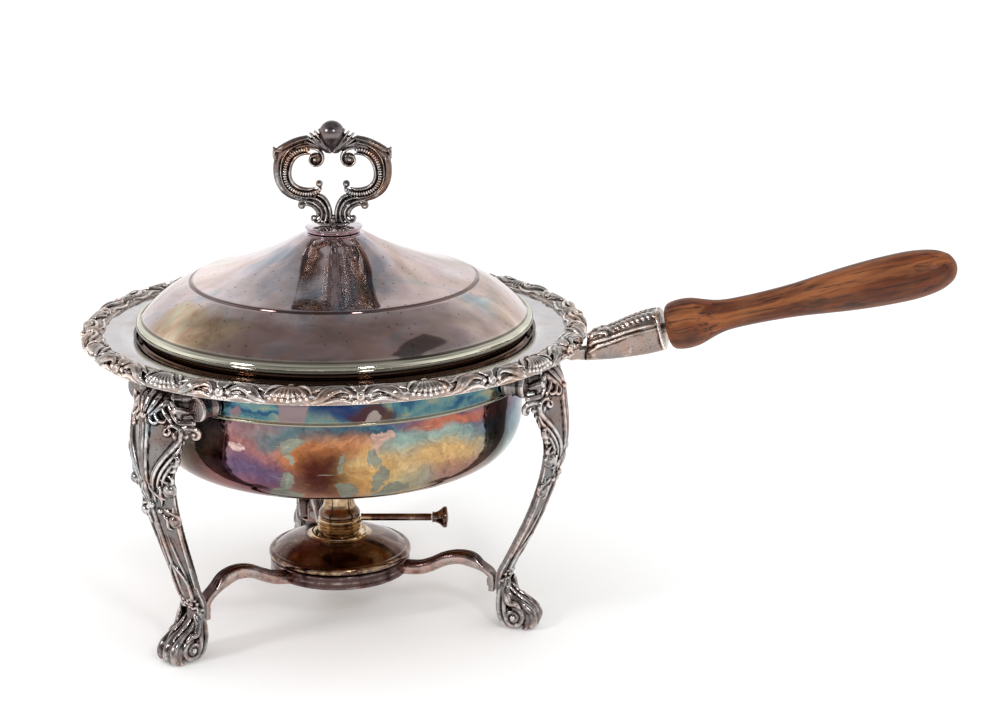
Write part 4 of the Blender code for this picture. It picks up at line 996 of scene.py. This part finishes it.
def leg(name, azimuth, splay):
    fine, out = leg_rows(splay)
    made = Mesh()
    heights = fine[:, 1]

    def surface(height, t, lift=0.0):
        """Point and outward direction on the leg's front at a height and a share of its half width."""
        height, t = np.broadcast_arrays(np.asarray(height, float), np.asarray(t, float))
        order = np.argsort(heights)
        row = [np.interp(height, heights[order], fine[order, k]) for k in range(4)]
        o = np.stack([np.interp(height, heights[order], out[order, k]) for k in range(2)], -1)
        drop = row[3] * (0.35 * np.abs(t) + 0.65 * np.abs(t) ** 1.8)
        normal = unit(np.stack([o[..., 0], 0.55 * t, o[..., 1]], -1))
        point = np.stack([row[0] - o[..., 0] * drop, t * row[2], height - o[..., 1] * drop], -1)
        return point + normal * lift, normal

    ts = np.linspace(-1, 1, 25)
    grid = []
    for i in range(len(fine)):
        r, z, w, d = fine[i]
        o = out[i]
        drop = d * (0.35 * np.abs(ts) + 0.65 * np.abs(ts) ** 1.8)
        frontal = np.stack([r - o[0] * drop, ts * w, z - o[1] * drop], 1)
        thick = 3.4
        behind = np.stack([r - o[0] * (d * 0.9 + thick) + 0 * ts[::-4], 0.9 * ts[::-4] * w,
            z - o[1] * (d * 0.9 + thick) + 0 * ts[::-4]], 1)
        grid.append(np.vstack([frontal, behind]))
    made.rows(np.array(grid))

    def stroke(points, radius, flat=0.8, count=30, taper=0.4, lift=0.0, both=True):
        for side in ((-1, 1) if both else (1,)):
            path = spline([(z / MM, side * t) for z, t in points], count)     # spaced by the share across
            point, normal = surface(path[:, 0] * MM, path[:, 1], lift)
            made.tube(point, radius, normal, flat, taper, 9)

    def knob(height, t, radii, lift=0.0, both=True):
        for side in ((-1, 1) if both and t else (1,)):
            point, normal = surface(height, side * t, lift)
            made.blob(point, radii, normal, Z, 12)

    # crest: a fluted shell under the rim
    for k in range(-2, 3):
        stroke([(155.6, 0.1 * k), (160, 0.2 * k), (164.5, 0.29 * k), (167.8 - 1.2 * abs(k), 0.34 * k)],
            [0.7, 1.5, 2.0, 1.5], 1.0, 18, 0.2, 0.6, False)
    knob(154.8, 0.0, (2.0, 2.4, 2.0), 0.8)
    # hooked leaves above the panels
    stroke([(156, 0.16), (153, 0.22), (151.6, 0.32), (153, 0.42), (154.8, 0.4)],
        [0.9, 1.2, 1.3, 1.1, 0.8], 1.2, 30, 0.2, 0.6)
    stroke([(159, 0.3), (155.8, 0.36), (153.6, 0.46), (153.6, 0.58), (155.6, 0.62)],
        [0.9, 1.2, 1.4, 1.2, 0.8], 1.2, 30, 0.2, 0.6)
    stroke([(164.5, 0.44), (161, 0.52), (158, 0.64), (154.5, 0.74), (151.5, 0.78)],
        [0.8, 1.3, 1.5, 1.3, 0.9], 1.2, 30, 0.2, 0.5)
    stroke([(165.5, 0.62), (162.5, 0.74), (158, 0.84), (153, 0.9)], [0.8, 1.4, 1.5, 0.9], 1.2, 24, 0.2, 0.4)
    # double moulding down the ridge, and mouldings that sweep in to it round a smooth panel
    for t in (0.035, 0.135):
        stroke([(153.5, 0.6 * t), (150, t), (140, t), (128, 0.9 * t), (115, 0.7 * t)],
            [0.7, 1.1, 1.15, 1.1, 0.7], 1.2, 56, 0.1, 0.5)
    outer = [(149.6, 0.66), (151.6, 0.72), (152, 0.84), (149.6, 0.96), (144.6, 0.98), (138.5, 0.86),
        (131.5, 0.66), (124, 0.47), (116, 0.32), (109, 0.26)]
    stroke(outer, [1.1, 1.3, 1.4, 1.5, 1.5, 1.4, 1.3, 1.2, 1.0, 0.7], 1.3, 70, 0.1, 0.5)
    stroke([(z - 0.4, t - 0.085) for z, t in outer[3:]], [0.5, 0.8, 0.8, 0.8, 0.6], 1.4, 50, 0.15, 0.4)
    stroke([(142.5, 1.02), (137, 0.97), (130, 0.8), (122.5, 0.62), (115, 0.48), (109, 0.42)],
        [0.8, 1.2, 1.3, 1.2, 1.0, 0.6], 1.3, 50, 0.2, 0.3)
    stroke([(132, 0.98), (127, 0.88), (120.5, 0.74), (114, 0.62)], [0.7, 1.3, 1.2, 0.6], 1.3, 40, 0.2, 0.2)
    stroke([(150, 0.62), (147, 0.6), (146.2, 0.68), (148, 0.74), (149.8, 0.7)], [0.8, 1.1, 1.2, 1.1, 0.8],
        1.2, 24, 0.1, 0.8)
    # leafy knots and two curled balls down the edges
    for z, t, turn in ((131, 1.0, 1.0), (126.6, 0.98, 0.8), (118, 0.97, 0.7)):
        stroke([(z + 5 * turn, t - 0.16), (z + 2.2 * turn, t), (z - 2 * turn, t + 0.02),
            (z - 3.4 * turn, t - 0.12)], [0.6, 1.5 * turn, 1.7 * turn, 0.9], 1.2, 20, 0.2, 0.2)
    for z, r in ((112.2, 3.3), (92.2, 3.0)):
        knob(z, 0.88, (1.12 * r, 1.15 * r, 1.05 * r), 0.6)
        stroke([(z + 6.6, 0.52), (z + 5.2, 0.74), (z + 2.2, 1.02), (z - 2.6, 1.02), (z - 4, 0.78),
            (z - 1.6, 0.62)], [0.6, 1.0, 1.2, 1.2, 1.0, 0.7], 1.2, 34, 0.2, 0.3)
        stroke([(z + 3, 0.4), (z, 0.56), (z - 4.6, 0.52), (z - 7.2, 0.66)], [0.5, 1.1, 1.0, 0.5], 1.2, 24,
            0.3, 0.3)
    # leaf bud
    for t, z0, z1, r in ((0.0, 118, 104, 1.4), (0.24, 115, 103, 1.2), (0.46, 111, 101, 1.1)):
        stroke([(z0, t * 0.5), (0.5 * (z0 + z1), t * 1.15), (z1, t)], [0.6, r, 0.6], 1.2, 16, 0.4, 0.6,
            t != 0)
    knob(101, 0.0, (2.4, 2.6, 1.9), 0.5)
    knob(97.5, 0.34, (1.6, 1.8, 1.4), 0.4)
    # shaft: keel and edge lines
    stroke([(98.5, 0.0), (80, 0.0), (60, 0.0), (45, 0.0)], [1.3, 1.2, 1.1, 0.9], 0.9, 40, 0.2, 0.2, False)
    stroke([(100, 0.88), (85, 0.92), (65, 0.92), (45, 0.92)], [1.0, 0.9, 0.8, 0.8], 1.1, 44, 0.2, 0.3)
    stroke([(82, 0.3), (72, 0.4), (60, 0.52), (50, 0.66)], [0.4, 0.8, 0.8, 0.4], 1.1, 30, 0.4, 0.2)
    # ankle: a leaf-shaped panel with a rosette, and a collar
    stroke([(62, 0.0), (57, 0.3), (50, 0.56), (43, 0.62), (37, 0.5), (33, 0.16)],
        [0.7, 1.0, 1.1, 1.1, 1.0, 0.8], 1.2, 44, 0.2, 0.4)
    for side in (-1, 1):
        knob(34.5, side * 0.4, (1.2, 1.2, 1.4), 1, False)
        for k in range(8):
            turn = 2 * math.pi * k / 8
            knob(34.5 + 3 * math.sin(turn), side * 0.4 + 0.29 * math.cos(turn), (1.25, 1.25, 1.3), 0.2,
                False)
    stroke([(31, 0.98), (32.2, 0.62), (30.5, 0.4)], [1.0, 1.2, 0.8], 1.2, 20, 0.2, 0.4)

    # scrolled foot: ribbed lobes over the toe
    def foot_point(share, side):
        x = np.interp(share, [0, 0.25, 0.5, 0.72, 0.88, 1.0], [108.5, 113.5, 120, 125.6, 127, 124.5])
        z = np.interp(share, [0, 0.25, 0.5, 0.72, 0.88, 1.0], [26, 20.5, 16.8, 12, 6.8, 2.6])
        return np.array([x + splay, side, z])

    core = []
    for share in np.linspace(0, 1, 14):
        x, _, z = foot_point(share, 0.0)
        ring = []
        for a in full_turn(20):
            w = 9 * (0.9 + 0.1 * share)
            depth = 4.5 + 1.2 * math.sin(math.pi * share)
            ring.append((x - 4 + depth * math.cos(a) * 0.9, w * math.sin(a),
                max(z - 3 + depth * math.cos(a) * 0.55, 0.2)))
        core.append(ring)
    made.rows(np.array(core))
    for side, radius in ((-6.2, 2.5), (0.0, 2.9), (6.2, 2.5)):
        path = spline([foot_point(s, side * (0.75 + 0.3 * s)) - np.array([1.4, 0, 1]) for s in (0.05,
            0.25, 0.5, 0.72, 0.88, 1.0)], 34)
        made.tube(path, np.array([0.5, 0.8, 0.85, 1.0, 1.0]) * radius, (0, 1, 0), 1.0, 0.1, 12)
    for side in (-3.1, 3.1):
        path = spline([foot_point(s, side) + np.array([0.4, 0, 0.4]) for s in (0.0, 0.2, 0.42, 0.6)], 24)
        made.tube(path, [0.7, 1.1, 0.6], (0, 1, 0), 1.0, 0.3, 8)
    def rib(points, radii, up, flat, taper, count, sides=10):
        """A moulding through free points (distance, distance across, height) on the current side."""
        made.tube(spline([(x, side * y, z) for x, y, z in points], count), radii, up, flat, taper, sides)

    # side volutes
    for side in (-1, 1):
        center = np.array([113.6 + splay, 0, 8])
        share = np.linspace(0, 1, 60)
        angle = np.radians(100 - 620 * share)
        radius = 6.4 * (1 - share) + 1.4 * share
        spiral = center + np.stack([radius * np.cos(angle), side * (8.6 + share), radius * np.sin(angle)],
            1)
        made.tube(spiral, [1.7, 1.5, 1.2, 1.0], (0, side, 0), 0.9, 0.05, 12)
        made.blob(center + np.array([0, side * 9.4, 0]), (2.2, 2.2, 2.0), (0, side, 0), (1, 0, 0), 14)
        made.blob(center + np.array([0, side * 5.0, 0]), (7.6, 7.6, 4.0), (0, side, 0), (1, 0, 0), 24)
        for lean in (0.0, 3.4):                 # ridges from the ankle that wrap over and behind the volute
            rib([(109.2 + splay - 0.2 * lean, 8, 33), (106 + splay + 0.5 * lean, 9, 26.2),
                (104.6 + splay + lean, 9.3, 19), (104.8 + splay + lean, 9.2, 11),
                (107.2 + splay + 0.7 * lean, 8.8, 4.4 + 0.3 * lean), (111.2 + splay, 8.2, 1.6)],
                [1.0, 1.6, 1.7, 1.6, 1.2], (0, side, 0), 1.1, 0.2, 30)
        rib([(110.2 + splay, 7, 30), (109.4 + splay, 9.4, 23.2), (111.2 + splay, 9.8, 17.8),
            (115.2 + splay, 9.4, 16.6), (118.6 + splay, 8.8, 13.2)], [1.1, 2.0, 2.1, 1.8, 1.0],
            (0, side, 0), 1.0, 0.2, 26, 12)
    made.blob((113.5 + splay, 0, 9.2), (8.4, 8.0, 8.8), Z, (1, 0, 0), 20)

    # drums with rosettes, the webs between them and the crest, and the curls under them
    outward = (1, 0, 0.2)
    drum = [(113, 6.2), (116, 6.7), (119.5, 6), (122.2, 6.3), (124, 7.2), (125.8, 7.4), (126.8, 7),
        (126.8, 6.3), (125, 5.8), (123.8, 5.4), (124, 3)]
    high = 161.2
    for side in (-1, 1):
        y = side * 29.2
        made.sweep([(x, y, high) for x, _ in drum], circle(36), Z, [r for _, r in drum])
        for ring, count, size in ((3.0, 9, 1.2), (1.3, 5, 0.9)):
            for c, s in circle(count):
                made.blob((125, y + ring * c, high + ring * s), (size, 0.72 * size, 2.2), (1, 0, 0),
                    (0, c, s), 8)
        for z, r in ((165.5, 3.0), (161, 3.4), (156, 3.2)):
            rib([(132, 13, z), (123.5, 19, z), (117, 27, z)], [r, r, 0.9 * r], Z, 1.0, 0.05, 16)
        for z, end in ((152.5, 28), (148.8, 26.2), (145.1, 24.5), (141.4, 22.8), (137.7, 21.2)):
            reach = end - 18.5
            rib([(133.5, 18.5, z), (133.5 - 0.36 * reach, 18.5 + 0.5 * reach, z),
                (133.5 - 0.75 * reach, end, z)], [2.3, 2.3, 2.0], Z, 1.0, 0.3, 10, 8)
        rib([(135.2, 17, 165), (132.6, 18.4, 160), (131.2, 19.6, 154.5), (131, 20.6, 150)],
            [1.2, 1.8, 1.9, 1.2], outward, 1.0, 0.2, 24)
        rib([(134.5, 19.5, 147.8), (131.8, 22.2, 149.2), (128.8, 26.2, 150), (126.2, 29.2, 148.4),
            (125.8, 29.6, 145.2), (126.8, 27.6, 143.6), (128, 26.2, 145)],
            [1.3, 1.8, 1.9, 1.7, 1.4, 1.2, 0.9], outward, 1.1, 0.1, 40)
        made.blob((127, side * 27.2, 146.4), (2.0, 2.0, 1.8), outward, (0, 1, 0), 14)
        rib([(135, 17, 160), (129, 19, 158), (124, 21, 156)], [3.4, 3.4, 3.0], (1, 0, 0), 0.8, 0.05, 12)
        rib([(135, 18, 147), (133, 20.7, 140), (133.5, 20.7, 133)], [2.2, 2.0, 1.4], (1, 0, 0), 0.9, 0.2,
            14)

    def settle(points):
        radius = np.hypot(points[:, 0], points[:, 1])
        inside = (points[:, 2] > 150) & (radius < 118.7)
        scale = np.where(inside, 118.7 / np.maximum(radius, 1e-9), 1.0)
        points[:, :2] *= scale[:, None]
        points[:, 2] = points[:, 2].clip(0.1, 172.2)

    made.place(azimuth, settle)
    put(made.object(name + "_casting", CASTING_VOXEL), "stand", LEG_METAL, "stand_silver", name)


for name, (azimuth, splay, _) in LEGS.items():
    leg(name, azimuth, splay)


# ================================================================ stretcher
def stretcher():
    made = Mesh()
    made.turned([(40, 26.4), (42, 26.4)] + arc((41.8, 27.6), (1.2, 1.2), -80, 0, 5) + [(42.8, 29),
        (43, 30.8), (42.8, 32.6)] + arc((41.8, 34), (1.2, 1.2), 0, 80, 5) + [(41.9, 35.2), (40, 35.2)],
        144)
    line = [(41.4, 29.4), (52, 30.2), (60, 33), (69, 37.6), (78, 39.6), (85.8, 38.4), (92.4, 35.4),
        (96.6, 32.6), (98.2, 29.4), (98.2, 21.5)]
    first, last = line[0][0], line[-1][0]
    for azimuth, splay, lift in LEGS.values():
        rows = []
        for i, (r, z) in enumerate(line):
            share = (r - first) / (last - first)
            bow = math.sin(math.pi * share) if i < len(line) - 2 else 0.0
            rows.append((r + splay * share, 0.0, z + lift * bow, 2.6 if i < 6 else 1.6,
                2.5 if i < 6 else 0.2))
        fine = spline(rows, 70)
        run = unit(np.gradient(fine[:, [0, 2]], axis=0))
        grid = []
        for (r, _, z, half, rib), (dx, dz) in zip(fine, run):
            section = [(-4.3, -half), (-3.6, -half - 0.1), (3.6, -half - 0.1), (4.3, -half),
                (4.5, -0.6 * half), (4.5, 0.6 * half), (4.2, half)]
            for s in np.linspace(3.6, -3.6, 25):
                groove = 0.16 + 0.84 * abs(math.cos(3 * math.pi * s / 7.2)) ** 0.7
                section.append((s, half + max(rib, 0.0) * math.sqrt(max(0,
                    1 - (s / 4.6) ** 2)) * (0.55 + 0.45 * groove)))
            section += [(-4.2, half), (-4.5, 0.6 * half), (-4.5, -0.6 * half)]
            grid.append([(r - dz * u, s, z + dx * u) for s, u in section])
        arm = Mesh()
        arm.rows(np.array(grid))
        made.add(turn_z(arm.verts[0], azimuth), arm.faces)
    made.place()
    obj = made.object("burner_stretcher_surface", sharp=50)
    # its relief drives the painted shade and highlights of the stretcher metal
    relief(obj.data, 3)
    put(obj, "stand", STRETCHER_METAL, "stand_silver", "burner_stretcher")
    for name, (azimuth, splay, _) in LEGS.items():
        screw = Mesh()
        outline = [(94.9, 1.2), (95, 2.2), (95.3, 2.9), (95.8, 3.2), (96.3, 3.2), (96.3, 1.6),
            (103.8, 1.6)]
        screw.sweep([(x + splay, 0, 26.5) for x, _ in outline], circle(28), Z, [r for _, r in outline])
        screw.place(azimuth)
        node = "stretcher_screw_" + name[4:]
        put(screw.object(node + "_surface"), "stand", STEEL, "fastener_steel", node)


stretcher()


# ================================================================ handle socket
def socket():
    made = Mesh()
    stations = np.array([(153.2, 181.2, 167.2, 8), (158, 185.2, 167.6, 9.7), (168, 188.3, 168.9, 10.8),
        (178, 193, 170.8, 11.4), (189, 197.2, 173.4, 11.7), (198.5, 199.6, 176.6, 11.7)])
    fine = spline(stations, 50)
    lean = math.tan(math.radians(GRIP_PITCH))

    def at(share, angle, lift=0.0):
        r, top, low, half = [np.interp(share, np.linspace(0, 1, len(fine)), fine[:, k]) for k in range(4)]
        c, s = np.cos(angle), np.sin(angle)
        across = np.sign(c) * np.abs(c) ** 0.7 * (half + lift)
        up = np.sign(s) * np.abs(s) ** 0.7 * ((top - low) / 2 + lift)
        return np.stack([r - up * lean * share, across, (top + low) / 2 + up], -1)

    grid = [[at(share, a) for a in full_turn(48)] for share in np.linspace(0, 1, 50)]
    made.rows(np.array(grid))

    def stroke(points, radius, flat=0.9, count=24, taper=0.4, both=True):
        for side in ((1, -1) if both else (1,)):
            path = spline([(s, 90 + side * (a - 90)) for s, a in points], count)
            base = at(path[:, 0], np.radians(path[:, 1]))
            outer = at(path[:, 0], np.radians(path[:, 1]), 1.0)
            made.tube(base, radius, unit(outer - base), flat, taper, 9)

    # collar bead where the wood starts, side moulding lines
    ring = at(np.full(60, 0.965), full_turn(60))
    made.tube(ring, 0.9, (1, 0, 0), 1.0, 0.0, 8, True)
    stroke([(0.03, 12), (0.3, 22), (0.6, 24), (0.95, 22)], [1.0, 1.1, 1.1, 0.9], 0.9, 40, 0.2)
    stroke([(0.02, -6), (0.3, 6), (0.6, 10), (0.95, 10)], [0.8, 0.9, 0.9, 0.7], 0.9, 40, 0.2)
    stroke([(0.05, 35), (0.14, 52), (0.26, 48), (0.3, 34), (0.22, 28)], [0.8, 1.3, 1.3, 1.0, 0.7], 0.9, 30)
    # overlapping leaflets on both sides of a stem along the top
    stroke([(0.26, 90), (0.55, 90), (0.92, 90)], [1.0, 1.1, 0.8], 0.9, 40, 0.2, False)
    for row in range(9):
        share = 0.26 + 0.07 * row
        stroke([(share, 88), (share + 0.045, 74), (share + 0.1, 58), (share + 0.15, 46)],
            [0.6, 1.5, 1.5, 0.8], 0.7, 20, 0.2)
        stroke([(share + 0.035, 82), (share + 0.085, 68), (share + 0.13, 58)], [0.4, 0.7, 0.4], 1.2, 14,
            0.2)
    for share, angle, r in ((0.02, 90, 1.9), (0.04, 62, 1.6), (0.04, 118, 1.6), (0.12, 90, 2.0),
            (0.2, 72, 1.5), (0.2, 108, 1.5)):
        made.blob(at(share, math.radians(angle)), (r, r, 0.8 * r), (0, 0, 1), (1, 0, 0), 12)
    strap = [(127.5, 179.2), (146.5, 179.2), (148.2, 173.8), (156, 174.5), (156, 167.6), (144, 166.8),
        (134, 170.3), (127.5, 176.4)]
    made.rows(np.array([[(x, y, z) for x, z in strap] for y in (-4.6, 4.6)]))

    def settle(points):
        points[:, 0] = points[:, 0].clip(127.5, 200.2)
        radius = np.hypot(points[:, 0], points[:, 1])
        touching = (points[:, 2] > 173.8) & (radius < 152.4) & (points[:, 0] > 148.3)
        scale = np.where(touching, 152.4 / np.maximum(radius, 1e-9), 1.0)
        points[:, :2] *= scale[:, None]

    made.place(0.0, settle)
    put(made.object("handle_socket_casting", SOCKET_VOXEL), "pan", RIM_METAL, "rim_silver", "handle_socket")


socket()

# ================================================================ CAD pieces that stay
for node, material in {"handle_tang": STEEL, "lid_stud": STEEL, "lid_nut": STEEL, "wick_tube": NECK,
        "wick": COTTON}.items():
    nodes[node].data.materials.clear()
    nodes[node].data.materials.append(material)


# ================================================================ floor, light and camera
def floor():
    mesh = bpy.data.meshes.new("floor")
    ring = [(9.0 * math.cos(a), 9.0 * math.sin(a), 0.0) for a in full_turn(64)]
    mesh.from_pydata(ring, [], [tuple(range(64))])
    obj = bpy.data.objects.new("floor", mesh)
    bpy.context.scene.collection.objects.link(obj)
    material = bpy.data.materials.new("pale_paper")
    material.use_nodes = True
    shader = material.node_tree.nodes["Principled BSDF"]
    shader.inputs["Roughness"].default_value = 0.9
    shader.inputs["Specular IOR Level"].default_value = 0.1
    shader.inputs["Base Color"].default_value = (0.96, 0.96, 0.96, 1.0)
    shader.inputs["Emission Color"].default_value = (1.0, 1.0, 1.0, 1.0)
    shader.inputs["Emission Strength"].default_value = 0.12
    mesh.materials.append(material)


def world():
    """White all round at the height of the object, grey overhead, plain white to the camera."""
    made = bpy.data.worlds.new("studio")
    bpy.context.scene.world = made
    made.use_nodes = True
    tree = made.node_tree
    background = tree.nodes["Background"]
    background.inputs["Color"].default_value = (1.0, 1.0, 1.0, 1.0)
    where = add(tree, "ShaderNodeTexCoord").outputs["Generated"]
    split = add(tree, "ShaderNodeSeparateXYZ", {0: where}).outputs
    high = add(tree, "ShaderNodeMapRange", {"Value": split[2], "From Min": 0.4, "From Max": 0.8,
        "To Min": 1.1, "To Max": 0.4}, interpolation_type="SMOOTHSTEP").outputs[0]
    near = add(tree, "ShaderNodeMapRange", {"Value": split[1], "From Min": -0.2, "From Max": -0.7,
        "To Min": 1.0, "To Max": 0.3}, interpolation_type="SMOOTHSTEP").outputs[0]
    level = times(tree, high, near)
    room = noise(tree, where, 2.6, 3.0, 0.6)
    room = add(tree, "ShaderNodeMapRange", {"Value": room, "From Min": 0.35, "From Max": 0.65,
        "To Min": 0.72, "To Max": 1.18}).outputs[0]
    level = times(tree, level, room)
    box = 1.0                            # one dark flag overhead, as studios hang
    for axis, center, half in ((0, 0.46, 0.075), (1, 0.1, 0.2)):
        off = calc(tree, "ABSOLUTE", calc(tree, "SUBTRACT", split[axis], center))
        side = fade(tree, off, half + 0.012, half)
        box = times(tree, side, box)
    level = times(tree, level, calc(tree, "MULTIPLY_ADD", box, -0.65, 1.0))
    seen = add(tree, "ShaderNodeLightPath").outputs["Is Camera Ray"]
    level = add(tree, "ShaderNodeMix", {0: seen, 2: level, 3: 1.0}).outputs[0]
    tree.links.new(level, background.inputs["Strength"])


def lamp(name, kind, location, target, energy, size, reflect=True):
    light = bpy.data.lights.new(name, kind)
    light.energy = energy
    if kind == "AREA":
        light.shape = "RECTANGLE"
        light.size, light.size_y = size
    else:
        light.angle = size
    obj = bpy.data.objects.new(name, light)
    obj.location = location
    obj.rotation_euler = (Vector(target) - Vector(location)).to_track_quat("-Z", "Y").to_euler()
    obj.visible_glossy = reflect
    bpy.context.scene.collection.objects.link(obj)


floor()
world()
lamp("overhead", "SUN", (0.3, -0.5, 3.0), (0, 0, 0), 1.6, 1.9, False)
lamp("window_left", "AREA", (-1.1, -1.1, 1.0), (-0.1, 0, 0.2), 7, (0.28, 0.4))
lamp("window_right", "AREA", (0.7, -1.3, 1.1), (-0.1, 0, 0.2), 5, (0.2, 0.3))

camera = bpy.data.cameras.new("camera")
camera.lens = 83.586
camera.sensor_width = 36.0
shot = bpy.data.objects.new("camera", camera)
shot.location = (AXIS[0] + 0.33146, -1.31058, 0.545804)
shot.rotation_euler = (math.radians(90 - 15.9435), 0.0, math.radians(10.0))
bpy.context.scene.collection.objects.link(shot)
bpy.context.scene.camera = shot
bpy.context.scene.view_settings.view_transform = "Standard"
